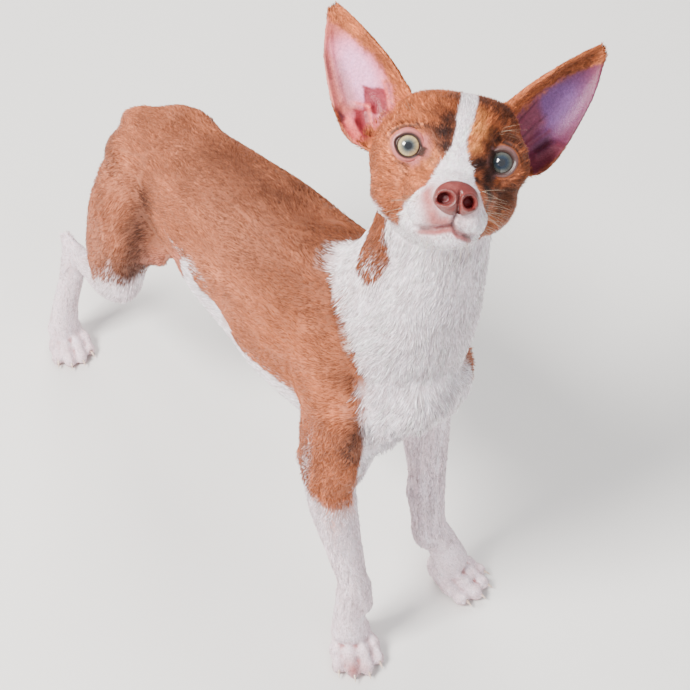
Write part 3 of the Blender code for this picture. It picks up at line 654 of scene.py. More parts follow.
def modify_by(item, weights, kind, **settings):
    """Run one modifier over an object, more where the weights are high."""
    weigh(item, weights)
    modifier = item.modifiers.new("by_weight", kind)
    for key, value in settings.items():
        setattr(modifier, key, value)
    modifier.vertex_group = "weights"
    bake_modifiers(item)
    item.vertex_groups.clear()


points = points_of(skin.data)
local = to_head(points)
on_head = head_share(local)
on_ear = ear_share(local)
on_feet = drop(points[:, 2], 0.012, 0.0195)
calm = (1 - on_head) * (1 - 0.90 * on_feet)
calm *= 1 - 0.5 * hill(from_run(points * MILLI, ARM_EDGE), 0, 12.0)
scale = (FINE_VOXEL / VOXEL) ** 2
for weights, least, turns in ((calm, 10, TRUNK_TURNS),
                              (on_head * (1 - 0.80 * on_ear), 6, HEAD_TURNS)):
    modify_by(skin, weights, "SMOOTH", factor=0.5, iterations=max(least, int(turns * scale)))
print("trunk and head are smooth")

# %% [markdown]
# Sculpting the face
#
# Short functions push the skin's points about, as a thumb does in clay. Each one
# works in the head's frame: the rims of the lids over the eyeballs, the crease
# above each eye, the line of the mouth, the split below the nose, and soft swells
# at the crown, the temple, the brow and the cheek.

# %% Lids
LID_ACROSS = math.radians(29.6)       # half the opening's width, seen from the eyeball's centre
LID_UP = math.radians(27.8)
INNER_CORNER = {-1: math.radians(8.5), 1: math.radians(11.0)}
OUTER_CORNER = {-1: math.radians(4.0), 1: math.radians(1.5)}
LID_TILT = math.radians(-12.0)        # the inner corner lies lower
UNDER_EYE = EYE_RADIUS - 0.0007       # the skin behind the eyeball's front
LID_TOP = EYE_RADIUS + 0.00080
LID_CREASE = 0.0008


def eye_axes(side):
    """Across (towards the nose), up and ahead for one eye, in the head's frame."""
    ahead = np.array(GAZES[side])
    up = np.array((0.0, 0.0, 1.0))
    up = up - up.dot(ahead) * ahead
    up /= np.linalg.norm(up)
    inward = np.cross(up, ahead)
    if inward[0] * side > 0:
        inward = -inward
    return inward, up, ahead


def lid_edge(turn, side):
    """The opening's half angle for a turn round the gaze; 0 points at the nose."""
    turn = turn - LID_TILT
    flat, tall = LID_UP * np.cos(turn), LID_ACROSS * np.sin(turn)
    oval = LID_UP * LID_ACROSS / np.sqrt(flat ** 2 + tall ** 2)
    inner = INNER_CORNER[side] * np.exp(-(np.angle(np.exp(1j * turn)) / 0.30) ** 2)
    outer = OUTER_CORNER[side] * np.exp(-(np.angle(np.exp(1j * (turn - math.pi))) / 0.45) ** 2)
    return oval + inner + outer


def around_eye(local, side):
    """Distance, angle off the gaze and turn round it, for points in the head's frame."""
    inward, up, ahead = eye_axes(side)
    offset = local - np.array(EYES[side])
    reach = np.linalg.norm(offset, axis=1)
    off = np.arccos(np.clip(offset @ ahead / (reach + 1e-9), -1, 1))
    turn = np.arctan2(offset @ up, offset @ inward)
    return offset, reach, off, turn


def sculpt_lids(local):
    for side in (-1, 1):
        offset, reach, off, turn = around_eye(local, side)
        edge = lid_edge(turn, side)
        past = off - edge
        rise = step(past, math.radians(-1.0), math.radians(6.0))
        target = UNDER_EYE + (LID_TOP - UNDER_EYE) * rise
        crease = hill(past, math.radians(20), math.radians(3.0)) * step(np.sin(turn), -0.1, 0.6)
        bag = hill(past, math.radians(17), math.radians(3.0)) * step(-np.sin(turn), 0.0, 0.7)
        weight = drop(past, math.radians(11), math.radians(27))
        margin = 0.0030 * drop(past, math.radians(8), math.radians(20))
        weight *= drop(reach, 0.0128 + margin, 0.0155 + margin)
        new = reach * (1 - weight) + target * weight
        near = drop(reach, 0.0135, 0.0160)
        new -= near * (LID_CREASE * crease + 0.45 * LID_CREASE * bag)
        local = local + offset * ((new / (reach + 1e-9)) - 1)[:, None] * (off < 1.9)[:, None]
    return local


# %% Mouth, muzzle and cheeks
MOUTH_RUN = ((-14, -31.9), (-8.8, -31.2), (-5.9, -30.7), (-2.9, -29.6), (-0.4, -28.5), (0.6, -28.6),
             (3.0, -30.5), (5.6, -31.1), (8.0, -31.5), (14, -31.2))      # x and height in mm
LIP_GROOVE = 0.0012
NOSE_MIDDLE = np.array((-0.0006, 0.0315, -0.0172))


def mouth_line(x):
    """Height of the line between the lips across the muzzle."""
    xs, heights = np.array(MOUTH_RUN).T
    return np.interp(x * MILLI, xs, heights) / MILLI


def sculpt_muzzle(local, ups):
    x, y, z = local.T
    snout = step(y, 0.000, 0.008) * drop(np.abs(x), 0.021, 0.026)
    line = mouth_line(x)
    groove = hill(z, line, 0.00085) * step(y, 0.003, 0.011) * snout
    push = -LIP_GROOVE * groove
    upper = hill(z, line + 0.0022, 0.0015) * step(y, 0.006, 0.014) * snout
    lower = hill(z, line - 0.0021, 0.0013) * step(y, 0.008, 0.016) * snout
    push += 0.00055 * upper + 0.00035 * lower
    split = hill(x, 0.0001, 0.0007) * step(y, 0.022, 0.026)
    split *= step(z, -0.0292, -0.0280) * drop(z, -0.0225, -0.0195)
    push -= 0.0012 * split
    local = local + ups * push[:, None]
    flew = step(x, 0.009, 0.014) * step(y, 0.005, 0.012) * hill(z, -0.023, 0.008)
    local[:, 0] -= 0.0021 * flew
    across, up = x - NOSE_MIDDLE[0], z - NOSE_MIDDLE[2]
    behind = np.hypot(across / 0.0082, up / 0.0064)
    limit = 0.0280 + 0.012 * step(behind, 0.80, 1.12)
    local[:, 1] = np.minimum(local[:, 1], np.where(behind < 1.3, limit, 1.0))
    return local


FACE_SWELLS = (     # middle, radius and height in mm: crown, temple, brow and cheek
    ((-17, -18, 19), 10, 2.2), ((18, -20, 20), 11, 3.6), ((30.5, -4, 4.5), 6.0, -1.4),
    ((29, -9, -13), 7.0, 1.3))


def swell(points, ups, swells):
    """Push points in or out of the surface within a radius of a place or a run."""
    for middle, radius, height in swells:
        run = middle if len(np.shape(middle)) == 2 else (middle, np.add(middle, 0.01))
        away = from_run(points * MILLI, run)
        points = points + ups * (0.001 * height * hill(away, 0, radius))[:, None]
    return points


def sculpt_face():
    points = points_of(skin.data)
    local = to_head(points)
    ups = normals_of(skin.data) @ HEAD_TURN
    chosen = np.nonzero((local[:, 1] > -0.045) & (local[:, 2] > -0.050))[0]
    face = swell(local[chosen], ups[chosen], FACE_SWELLS)
    face = sculpt_muzzle(face, ups[chosen])
    face = sculpt_lids(face)
    local[chosen] = face
    put_points(skin.data, from_head(local))
    return len(chosen)


print("sculpted points on the head:", sculpt_face())

# %% [markdown]
# Sculpting the body
#
# The same thumb works on the trunk and legs: the dip behind the withers, the
# tuck of the belly, the edge between the upper arm and the breast, and the lower
# edge of the breast, which stands out over the foreleg behind it.

# %% Body
def sculpt_body():
    points = points_of(skin.data)
    ups = normals_of(skin.data)
    weight = 1 - head_share(to_head(points))
    moved = swell(points, ups * weight[:, None], BODY_SWELLS)
    put_points(skin.data, moved)
    return float(np.linalg.norm(moved - points, axis=1).max())


print("largest push on the body:", round(sculpt_body(), 5))

# %% [markdown]
# Room for the coat
#
# The solids reach out to the tips of the hair, so the skin draws back from them by
# the coat's depth. That is about a millimetre on the trunk and much less on the
# face, ears and feet. The skin is then thinned out, most where it is plain.

# %% Draw the skin in and thin it out
COAT_DEPTH = 0.0009
FACE_DEPTH = 0.00035
SKIN_TRIANGLES = 196000


def draw_in():
    points = points_of(skin.data)
    local = to_head(points)
    face = head_share(local)
    feet = drop(points[:, 2], 0.006, 0.030)
    depth = COAT_DEPTH + (FACE_DEPTH - COAT_DEPTH) * np.maximum(face, feet)
    depth *= 1 - ear_share(local)
    depth *= step(points[:, 2], 0.0008, 0.0040)
    for side in (-1, 1):
        depth *= step(around_eye(local, side)[1], 0.0125, 0.0165)
    put_points(skin.data, points - normals_of(skin.data) * depth[:, None])


def thin_skin():
    """Keep most of the faces on the muzzle and ears, fewer on the plain trunk."""
    points = points_of(skin.data)
    local = to_head(points)
    keep = np.maximum(head_share(local) * step(local[:, 1], -0.034, -0.010), 0.55 * ear_share(local))
    keep = np.maximum(keep, 0.5 * drop(points[:, 2], 0.018, 0.030))
    total = sum(len(p.vertices) - 2 for p in skin.data.polygons)
    modify_by(skin, 1 - 0.30 * keep, "DECIMATE", ratio=min(1.0, SKIN_TRIANGLES / total))


draw_in()
bed = skin.data.copy()                # the fine surface that the coat will grow from
bed.name = "coat_bed"
thin_skin()
edges = np.array([e.vertices[:] for e in skin.data.edges])
spots = points_of(skin.data)
lengths = np.linalg.norm(spots[edges[:, 0]] - spots[edges[:, 1]], axis=1)
print("coat bed points:", len(bed.vertices), "skin triangles:", len(skin.data.polygons),
      "edges up to", round(float(np.percentile(lengths, 99)), 5))

# %% [markdown]
# The lie of the coat
#
# Hair grows away from the nose, over the crown and down the neck, then back along
# the trunk and down each leg. A short run of bones says which way that is: near a
# bone the hair follows it, and between bones the directions blend. On the head the
# hair simply points away from the nose. The same bones say how long the hair is
# and how the skin is unrolled, so that each tuft has its own spot on a flat map.

# %% Bones
FLAT_BACK = (0.0, 1.0, -0.22)
BONES = (   # name, from, to, thickness, lie (None: along the bone), hair length in mm
    ("shoulders", (-0.0219, -0.100, 0.195), (-0.0219, -0.020, 0.190), 0.045, FLAT_BACK, 5.0),
    ("loin", (-0.0219, -0.020, 0.190), (-0.0219, 0.080, 0.182), 0.040, FLAT_BACK, 4.8),
    ("breast", (-0.0219, -0.132, 0.210), (-0.0219, -0.124, 0.160), 0.030, (0, 0.30, -1), 5.6),
    ("neck", (0.0001, -0.126, 0.302), (-0.0215, -0.112, 0.235), 0.026, None, 4.6),
    ("tail", (-0.0219, 0.092, 0.197), (-0.0179, 0.105, 0.093), 0.009, None, 5.0),
    ("upper_arm_right", (-0.0489, -0.126, 0.168), (-0.0569, -0.112, 0.123), 0.021, (0, 0.35, -1), 4.2),
    ("upper_arm_left", (0.0061, -0.126, 0.168), (0.0141, -0.102, 0.121), 0.021, (0, 0.35, -1), 4.2),
    ("forearm_right", (-0.0569, -0.112, 0.123), (-0.0529, -0.130, 0.045), 0.011, None, 3.2),
    ("forearm_left", (0.0141, -0.102, 0.121), (0.0041, -0.122, 0.043), 0.011, None, 3.2),
    ("pastern_right", (-0.0529, -0.130, 0.045), (-0.0580, -0.135, 0.016), 0.009, None, 2.4),
    ("pastern_left", (0.0041, -0.122, 0.043), (0.0115, -0.132, 0.016), 0.009, None, 2.4),
    ("fore_toes_right", (-0.0570, -0.132, 0.016), (-0.0645, -0.152, 0.007), 0.010, None, 1.7),
    ("fore_toes_left", (0.0115, -0.132, 0.016), (0.0190, -0.150, 0.007), 0.010, None, 1.7),
    ("thigh_right", (-0.0409, 0.072, 0.176), (-0.0619, 0.058, 0.121), 0.030, (0, 0.45, -0.9), 4.6),
    ("thigh_left", (-0.0029, 0.075, 0.176), (0.0111, 0.084, 0.116), 0.030, (0, 0.45, -0.9), 4.6),
    ("shank_right", (-0.0619, 0.058, 0.121), (-0.0439, 0.140, 0.069), 0.014, None, 3.8),
    ("shank_left", (0.0111, 0.084, 0.116), (-0.0009, 0.168, 0.068), 0.014, None, 3.8),
    ("hock_right", (-0.0439, 0.140, 0.069), (-0.0560, 0.138, 0.016), 0.008, None, 2.6),
    ("hock_left", (-0.0009, 0.168, 0.068), (-0.0036, 0.171, 0.016), 0.008, None, 2.6),
    ("hind_toes_right", (-0.0560, 0.138, 0.016), (-0.0610, 0.119, 0.007), 0.010, None, 1.7),
    ("hind_toes_left", (-0.0036, 0.171, 0.016), (-0.0045, 0.151, 0.007), 0.010, None, 1.7),
)
COATS = {           # a coat piece and the bones that it covers
    "face": (), "ears": (),
    "neck": ("neck", "breast"),
    "fore": ("shoulders",),
    "rear": ("loin", "tail"),
    "forelegs": ("upper_arm_right", "upper_arm_left", "forearm_right", "forearm_left",
                 "pastern_right", "pastern_left", "fore_toes_right", "fore_toes_left"),
    "hindlegs": ("thigh_right", "thigh_left", "shank_right", "shank_left", "hock_right",
                 "hock_left", "hind_toes_right", "hind_toes_left"),
}
NOSE_ROOT = np.array((0.0, 0.026, -0.013))      # hair on the head points away from here
SKULL_MIDDLE = np.array((0.0, -0.018, -0.006))
SKULL_BASE = np.array((0, -0.036, -0.024))      # here the head goes over into the neck
SKULL_UP = np.array((0.19, 0.69, 0.70))
EAR_LIE = ((0.55, 0, 0), (0, -0.18, 0.80))      # outwards, and up along the ear


def waves(points, size, seed, count=14):
    """A smooth random field between about -1 and 1 with patches of one size."""
    draw = np.random.default_rng(seed)
    way = draw.normal(size=(3, count))
    way *= (2 * math.pi / size) / np.linalg.norm(way, axis=0) * draw.uniform(0.6, 1.5, count)
    phase = draw.uniform(0, 2 * math.pi, count)
    return np.sin(points @ way + phase).sum(axis=1) * math.sqrt(2.0 / count) * 0.7


def along(value, pairs):
    """The height of a run of (place, height) at a value."""
    return np.interp(value, *zip(*pairs))


def fade(value, width):
    """1 where a signed distance is well above 0, 0 where it is well below."""
    return step(value, -width / 2, width / 2)


def unit(vectors):
    return vectors / (np.linalg.norm(vectors, axis=-1, keepdims=True) + 1e-12)


def above_base(local):
    """Height over the cut between head and neck, for points in the head's frame."""
    return (local - SKULL_BASE) @ SKULL_UP


def bone_shares(points):
    """How much each bone says at each point, and where along it the point lies."""
    shares, heights, arounds = [], [], []
    for a, b, thickness in (bone[1:4] for bone in BONES):
        a, b = np.array(a), np.array(b)
        axis = b - a
        t = np.clip((points - a) @ axis / (axis @ axis), 0, 1)
        offset = points - a - t[:, None] * axis
        reach = np.linalg.norm(offset, axis=1)
        shares.append((thickness / np.maximum(reach, 0.0015)) ** 5)
        across = unit(np.cross(axis, (1.0, 0.31, 0.12)))
        other = unit(np.cross(axis, across))
        heights.append((points - a) @ unit(axis))
        arounds.append(np.arctan2(offset @ across, offset @ other))
    shares = np.array(shares).T
    return shares / shares.sum(axis=1, keepdims=True), np.array(heights).T, np.array(arounds).T


def coat_fields(mesh):
    """Attributes that the tufts read: lie, outward, length, share and place on the flat map."""
    points, normals = points_of(mesh), normals_of(mesh)
    local = to_head(points)
    shares, heights, arounds = bone_shares(points)
    ways = np.array([unit(np.array(lie if lie else np.subtract(b, a), dtype=float))
                     for name, a, b, thickness, lie, length in BONES])
    lie = shares @ ways
    length = shares @ np.array([bone[5] for bone in BONES])
    length = length + 2.6 * hill(from_run(points * MILLI, BREAST_HEM), 0, 5.0)
    on_head = head_share(local)
    above = above_base(local)
    on_head *= step(above, -0.010, 0.010)
    away = unit(local - NOSE_ROOT)
    face_lie = away @ HEAD_TURN.T
    from_nose = np.linalg.norm(local - NOSE_ROOT, axis=1)
    face_length = 1.1 + 2.3 * step(from_nose, 0.008, 0.050)
    lie = lie * (1 - on_head[:, None]) + face_lie * on_head[:, None]
    length = length * (1 - on_head) + face_length * on_head
    ear = ear_share(local) * step(above, 0.0, 0.01)
    ear_way = np.where(local[:, :1] > 0, 1, -1) * EAR_LIE[0] + EAR_LIE[1]
    lie = lie * (1 - ear[:, None]) + unit(ear_way) @ HEAD_TURN.T * ear[:, None]
    length = length * (1 - ear) + 2.2 * ear
    lie = lie - (lie * normals).sum(axis=1)[:, None] * normals
    swirl = np.cross(normals, lie) * (0.22 * waves(points, 0.020, 31))[:, None]
    lie = unit(lie + swirl)
    names = [bone[0] for bone in BONES]
    nearest = shares.argmax(axis=1)
    region = np.zeros(len(points), int)
    chart = np.zeros((len(points), 2))
    for number, (coat, members) in enumerate(COATS.items()):
        for place, member in enumerate(members):
            here = nearest == names.index(member)
            region[here] = number
            u = (arounds[here, names.index(member)] / (2 * math.pi) + 0.5)
            v = heights[here, names.index(member)] / 0.22 + 0.3
            chart[here, 0] = (place + 0.02 + 0.96 * u) / len(members)
            chart[here, 1] = np.clip(v, 0.01, 0.99)
    for coat, chosen in (("face", on_head > 0.5), ("ears", ear > 0.5)):
        region[chosen] = list(COATS).index(coat)
        way = unit(local[chosen] - SKULL_MIDDLE)
        chart[chosen, 0] = np.arctan2(way[:, 0], way[:, 1]) / (2 * math.pi) + 0.5
        chart[chosen, 1] = np.arcsin(np.clip(way[:, 2], -1, 1)) / math.pi + 0.5
    return lie, length * 0.001, region, chart, normals


# %% [markdown]
# Streaks
#
# Hair lies in strands. Random numbers on the fine skin are averaged along the lie
# over and over, and what is left is a pattern of narrow streaks. It lightens and
# darkens the coat strand by strand, and makes some strands longer than others.

# %% Streaks along the lie
STREAK_TURNS = 12
STREAK_OWN, STREAK_NEAR = 0.34, 0.66    # what a point keeps, and takes from its neighbours
BEND_OWN, BEND_NEAR = 0.4, 0.6
BEND_TURNS = 4
BEND_RANGE = (60.0, 420.0)              # bends that count as none and as a full groove, 1/m


def edge_ends(mesh):
    """The points at both ends of each edge, listed one way and then the other."""
    ends = numbers_of(mesh.edges, "vertices", 2, int)
    return np.concatenate([ends[:, 0], ends[:, 1]]), np.concatenate([ends[:, 1], ends[:, 0]])


def streak_field(mesh, lie):
    """Random numbers drawn out along the hair."""
    points = points_of(mesh)
    start, stop = edge_ends(mesh)
    way = unit(points[stop] - points[start])
    weight = np.abs((way * lie[start]).sum(axis=1)) ** 8 + 1e-4
    total = np.bincount(start, weight, len(points))
    field = np.random.default_rng(SEED).normal(size=len(points))
    for turn in range(STREAK_TURNS):
        near = STREAK_NEAR * np.bincount(start, weight * field[stop], len(points))
        field = STREAK_OWN * field + near / total
    return (field - field.mean()) / field.std()


def hollows(mesh):
    """How far the surface is sunk at each point: about 1 in a groove between two toes."""
    points, ups = points_of(mesh), normals_of(mesh)
    start, stop = edge_ends(mesh)
    way = points[stop] - points[start]
    bend = 2 * (way * ups[start]).sum(axis=1) / (way ** 2).sum(axis=1)
    count = np.maximum(np.bincount(start, minlength=len(points)), 1)
    field = np.bincount(start, bend, len(points)) / count
    for turn in range(BEND_TURNS):
        near = BEND_NEAR * np.bincount(start, field[stop], len(points))
        field = BEND_OWN * field + near / count
    return step(field, *BEND_RANGE)


BED_FIELDS = coat_fields(bed)
BED_STREAK = streak_field(bed, BED_FIELDS[0])
BED_TREE = BVHTree.FromPolygons([v.co for v in bed.vertices], [p.vertices for p in bed.polygons])
BED_CORNERS = [p.vertices[0] for p in bed.polygons]


def streaks_of(points):
    """The streaks at any points that lie on or near the fine skin."""
    if len(points) == len(BED_STREAK):
        return BED_STREAK
    found = [BED_TREE.find_nearest(Vector(point))[2] for point in points]
    return BED_STREAK[[BED_CORNERS[face] for face in found]]


print("streaks:", np.round(np.percentile(BED_STREAK, (5, 50, 95)), 2))

# %% [markdown]
# Markings
#
# The dog is chestnut with a white bib, belly, socks and blaze. Each border between
# the two is a run of a few points in a plane that suits it: ahead of the face, at
# the side of the trunk, and unrolled round the neck. A point's distance from such
# a run says which colour it has, and a little waviness keeps the border ragged.

# %% Colours of coat and skin, in linear light
CHESTNUT = np.array((0.446, 0.147, 0.071))          # on the trunk
RED_CHESTNUT = np.array((0.415, 0.117, 0.0435))      # on the head, neck and upper arms
DARK_CHESTNUT = np.array((0.024, 0.0075, 0.0052))
GINGER = np.array((0.640, 0.235, 0.070))
WHITE_HAIR = np.array((0.95, 0.85, 0.91))
PINK_SKIN = np.array((0.40, 0.105, 0.095))
FOLD_PINK = np.array((0.56, 0.21, 0.16))
EAR_PINK = np.array((0.72, 0.14, 0.13))
EAR_LILAC = np.array((0.95, 0.42, 0.70))
EAR_SALMON = np.array((0.52, 0.14, 0.09))
EAR_ROSE = np.array((1.15, 0.26, 0.23))
# painted shadow, a band across the bowl of the right ear
EAR_PAINTED_SHADOW = np.array((0.55, 0.30, 0.40))
EAR_DEEP = np.array((0.27, 0.031, 0.043))
EAR_RED = np.array((0.62, 0.20, 0.16))
# painted shade, in the pocket of the ear and beside its folds
EAR_CREASE_SHADE = np.array((0.10, 0.025, 0.030))
# EAR_SHADE darkens the left ear's colours all over: painted shade on the dog's left ear
EAR_SHADE = {-1: np.array((1.0, 1.0, 1.0)), 1: np.array((0.25, 0.25, 0.41))}
LIP_PINK = np.array((0.34, 0.080, 0.072))
LIP_FLECK = np.array((0.30, 0.13, 0.10))
# painted shade in the groove between the lips
MOUTH_GROOVE_SHADE = np.array((0.06, 0.02, 0.018))
# painted shade in the split below the nose
SPLIT_GROOVE_SHADE = np.array((0.07, 0.02, 0.018))
LID_LINE = np.array((0.045, 0.018, 0.014))
# The left lid's tint is darker and bluer than the right's: painted shade of the dog's left side
LID_TINT = {-1: (1.12, 1.3, 1.3), 1: (0.40, 0.72, 0.75)}       # times the pink of the skin
LEG_TINT = (0.97, 0.90, 0.91)                                  # times the white of the hair

# %% White on the head
# runs of (height, across), (height, ahead) and (across, height), in mm of the head's frame
BLAZE_RIGHT = ((-31.8, -16.5), (-27.7, -16.9), (-22.1, -17.0), (-18.2, -15.2), (-12.1, -10.9),
    (-5.6, -7.4), (-1.4, -5.2), (2.5, -3.8), (3.9, -3.1), (9.0, -2.4), (15.5, -2.6), (24.2, -0.8),
    (31, 1.5))
BLAZE_LEFT = ((-31.8, 14.6), (-22, 13.8), (-17.0, 11.2), (-13.8, 8.9), (-8.9, 7.6), (-5.8, 7.4),
    (-3.0, 6.1), (0.2, 3.8), (3.7, 2.7), (8.4, 2.4), (16.8, 4.6), (26, 7.4), (31, 6.0))
FLEWS_EDGE = ((-31.8, -9.7), (-27.7, -2.8), (-24.4, 3.0), (-22.1, 9.5), (-18.2, 15.2), (-14.6, 19),
    (-9.1, 24), (-5, 60))
CHEEK_EDGE = ((0, -26), (10, -31), (16.5, -31.8), (22, -28.8), (28.1, -23.0), (34, -15))


def white_of_head(mm, ripple):
    x, y, z = mm.T
    right = along(z, BLAZE_RIGHT)
    left = along(z, BLAZE_LEFT)
    blaze = fade(np.minimum(x - right, left - x) + 0.5 * ripple, 0.9)
    blaze *= fade(y + 21.0 + ripple, 2.0)
    side = along(z, FLEWS_EDGE)
    flews = fade(np.where(x < 0, y - side, y - side - 9.0) + 0.8 * ripple, 1.2)
    cheek = along(np.abs(x), CHEEK_EDGE)
    jaw = fade(cheek - z + 0.8 * ripple, 1.2)
    return most(blaze, flews, jaw)


# %% White on the neck, trunk and legs
NECK_FOOT = np.array((-0.0175, -0.1050, 0.2250))
NECK_AXIS = np.array((0.2153, -0.2569, 0.9421))
NECK_FRONT = np.array((-0.0573, -0.9664, -0.2505))
SPINE_X = -21.86
# round the neck (degrees, mm up its axis), then (height, across), (along the trunk, height)
# or (along the trunk, slope), in mm
NECK_HEM = ((-180, 60), (-145, 58), (-128, 50), (-119, 36), (-112, 30.6), (-97, 25.4), (-77, 28.3),
    (-66, 35), (-62, 44), (-59, 60), (-57, 120), (60, 120), (68, 66), (80, 47), (95, 41), (110, 42),
    (125, 50), (145, 57), (180, 60))
NECK_TOP = ((-180, 200), (-100, 200), (-92, 75), (-87, 60), (-75.5, 57.3), (-67.4, 54.8),
    (-60.6, 49.9), (-55, 40), (50, 40), (60, 200), (180, 200))
ARM_INSIDE = ((110, 26), (120, 30), (128.8, 30.5), (150.8, 33.3), (165.6, 33.0), (178.3, 33.4),
    (186.5, 29.7))
BIB_TOP = ((-160, 140), (-139.3, 178.3), (-136, 186.5), (-131.6, 194.2), (-128.2, 203.4),
    (-126.4, 214.7), (-123.6, 225), (-115.2, 231.1), (-104.7, 233.4), (-94.3, 234.5), (-90.1, 236.2),
    (-82.9, 239.3), (-77.8, 240.5), (-60, 260))
BIB_SLOPE = ((-150, 2.5), (-139, 2.5), (-128, 6), (-124, 4), (-115, 0.5), (-60, 0.3))
BELLY_HEM = ((-112, 158), (-90, 166.5), (-73, 165), (-55, 160.5), (-43.6, 159.5), (-30, 156.5),
    (-20.7, 163), (-12.9, 176), (-6.8, 184.5), (-1.3, 190), (3, 186), (8, 160), (20, 150), (29.6, 147),
    (37.2, 145), (44.3, 143.1), (49.4, 135.5), (57.7, 133), (65.5, 131.9), (76.1, 117), (90, 116),
    (104, 128), (116, 142), (130, 150))
ARM_LOW_RIGHT = ((-130, 116.5), (-125.5, 118.9), (-119.8, 121.2), (-114.8, 122.5), (-111.9, 124),
    (-106, 127), (-100, 131))
ARM_LOW_LEFT = ((-135, 178), (-121, 166), (-110, 150), (-95, 142))
ELBOW = (-67.5, -111.1, 144.5)
TAIL_RUN = ((-21, 107, 180), (-18, 106, 93))


def white_of_neck(points, ripple):
    """Round the neck: brown from the head comes down its nape and right side as a tongue."""
    offset = points - NECK_FOOT
    height = offset @ NECK_AXIS
    flat = offset - height[:, None] * NECK_AXIS
    turn = np.degrees(np.arctan2(flat @ np.cross(NECK_AXIS, NECK_FRONT), flat @ NECK_FRONT))
    hem = along(turn, NECK_HEM)
    top = along(turn, NECK_TOP)
    rise = height * MILLI
    return fade(np.maximum(hem - rise, rise - top) + 1.4 * ripple, 1.5)


def inside_of_arms(mm):
    """How far inside the brown of the upper arms a point lies."""
    inner = along(mm[:, 2], ARM_INSIDE)
    return inner - np.abs(mm[:, 0] - SPINE_X)


def white_of_trunk(mm, ripple):
    x, y, z = mm.T
    bib = along(y, BIB_TOP)
    slope = along(y, BIB_SLOPE)
    front = (z - bib) / np.sqrt(1 + slope ** 2)
    belly = along(y, BELLY_HEM)
    belly = np.where((x > SPINE_X) & (y > -44), np.minimum(belly, 159.5), belly)
    under = (belly - 4.5 * hill(y, -30, 60) - z) / 1.25
    keel = np.minimum(np.minimum(inside_of_arms(mm), 186 - z), -y - 62)
    return fade(most(front, under, keel) + 1.5 * ripple, 1.6)


def brown_of_arms(mm, ripple):
    """The outsides of the upper arms stay brown down to the forearm."""
    x, y, z = mm.T
    low = np.where(x < SPINE_X, along(y, ARM_LOW_RIGHT), along(y, ARM_LOW_LEFT))
    ahead = fade(-y - 86, 8)
    tuft = fade(np.minimum(-inside_of_arms(mm), z - low) + 1.3 * ripple, 1.6)
    elbow = hill(np.linalg.norm(mm - ELBOW, axis=1), 0, 2.0)
    return tuft * ahead * (1 - 0.7 * elbow) * fade(190 - z, 10)


# %% Darker and lighter patches within the brown, some of them painted shade
# centre in mm of the head's frame, radius and strength
DARK_SPOTS_AND_SHADE = (((-6.6, 5.6, 8.6), 6.2, 1.0), ((-5.6, 2.4, 14.5), 5.0, 0.95),
              ((-5.6, 7.6, 3.6), 4.0, 1.0), ((-10.0, 4.4, 8.6), 5.0, 0.75),
              ((-9.5, -1.0, 17.0), 5.5, 0.6),
              ((7.4, 7.9, -3.0), 3.2, 1.0), ((8.6, 11.7, -8.0), 3.4, 1.0), ((12.6, 4.4, 6.0), 4.0, 0.8),
              ((9.2, 6.7, -1.5), 4.6, 1.0), ((14.5, 5.0, -5.5), 5.6, 1.0),
              ((13.4, 10.4, -10.8), 6.0, 1.0), ((15.5, 2.6, 10.0), 5.2, 0.95),
              ((21.5, -2.0, 10.5), 6.5, 0.8), ((6.4, 7.8, -0.4), 2.6, 0.8),
              ((-3.0, -9.0, 24.0), 6.0, 0.65), ((8.5, -12.0, 25.0), 6.5, 0.75),
              # The six broad spots from here on lie on the dog's left side of the face, from the brow
              # to the cheek and muzzle: their darkness is partly the coat's own and partly painted
              # shade of that side
              ((18.0, -12.0, 22.0), 9.5, 0.78), ((15.0, 14.0, -20.0), 6.0, 0.8),
              ((24.0, -2.0, -12.0), 9.0, 0.75), ((17.0, 6.0, -27.0), 6.5, 0.82),
              ((28.0, -14.0, -6.0), 9.0, 0.65), ((26.0, -6.0, 3.0), 7.0, 0.6))
GINGER_SPOTS = (((7.0, 3.5, 12.5), 5.2, 1.0), ((6.3, 7.3, 4.4), 3.2, 0.9),
                ((7.6, -2.0, 18.5), 4.0, 0.6), ((-12.0, 7.5, -2.0), 4.0, 0.35))
BLUSH_RUN = ((-11.6, 24.3, -17.0), (-10.6, 28.0, -20.5), (-8.6, 29.0, -24.5), (-7.4, 28.4, -28.0),
             (-3.0, 28.9, -27.5))
# Painted shade: darker bands where shade falls, in the crease at the flank, at the inner edge of the
# thigh and along the edge of the arm
PAINTED_SHADE_RUNS = (       # run in mm, radius and strength: flank, inner edge of the thigh, edge of the arm
    (((-51, 45, 190), (-54, 45, 171), (-58, 46, 148), (-62, 50, 138)), 10.0, 0.85),
    (((-50.4, -123.6, 202.7), (-49.4, -127.8, 198.8)), 4.0, 0.5),
    (((-52.7, -137.3, 184.2), (-56.3, -137, 181.9), (-58.5, -137.4, 176.7), (-60, -135.4, 168.8),
      (-58.8, -136.4, 163.9)), 4.4, 0.85))
FOLD_SKIN = ((-53, 33.8, 153.7), (-55.7, 10.0, 172.0), (-56, 5, 180))


def spotted(mm, spots, ripple):
    total = np.zeros(len(mm))
    for centre, radius, strength in spots:
        away = np.linalg.norm(mm - centre, axis=1) / radius
        total = np.maximum(total, strength * np.exp(-(away * (1 + 0.2 * ripple)) ** 3))
    return total


def mix(a, b, share):
    return a + (b - a) * share[:, None]


def lay(colour, tone, share):
    """Paint a tone over a share of each colour."""
    colour[:] = mix(colour, tone, share)


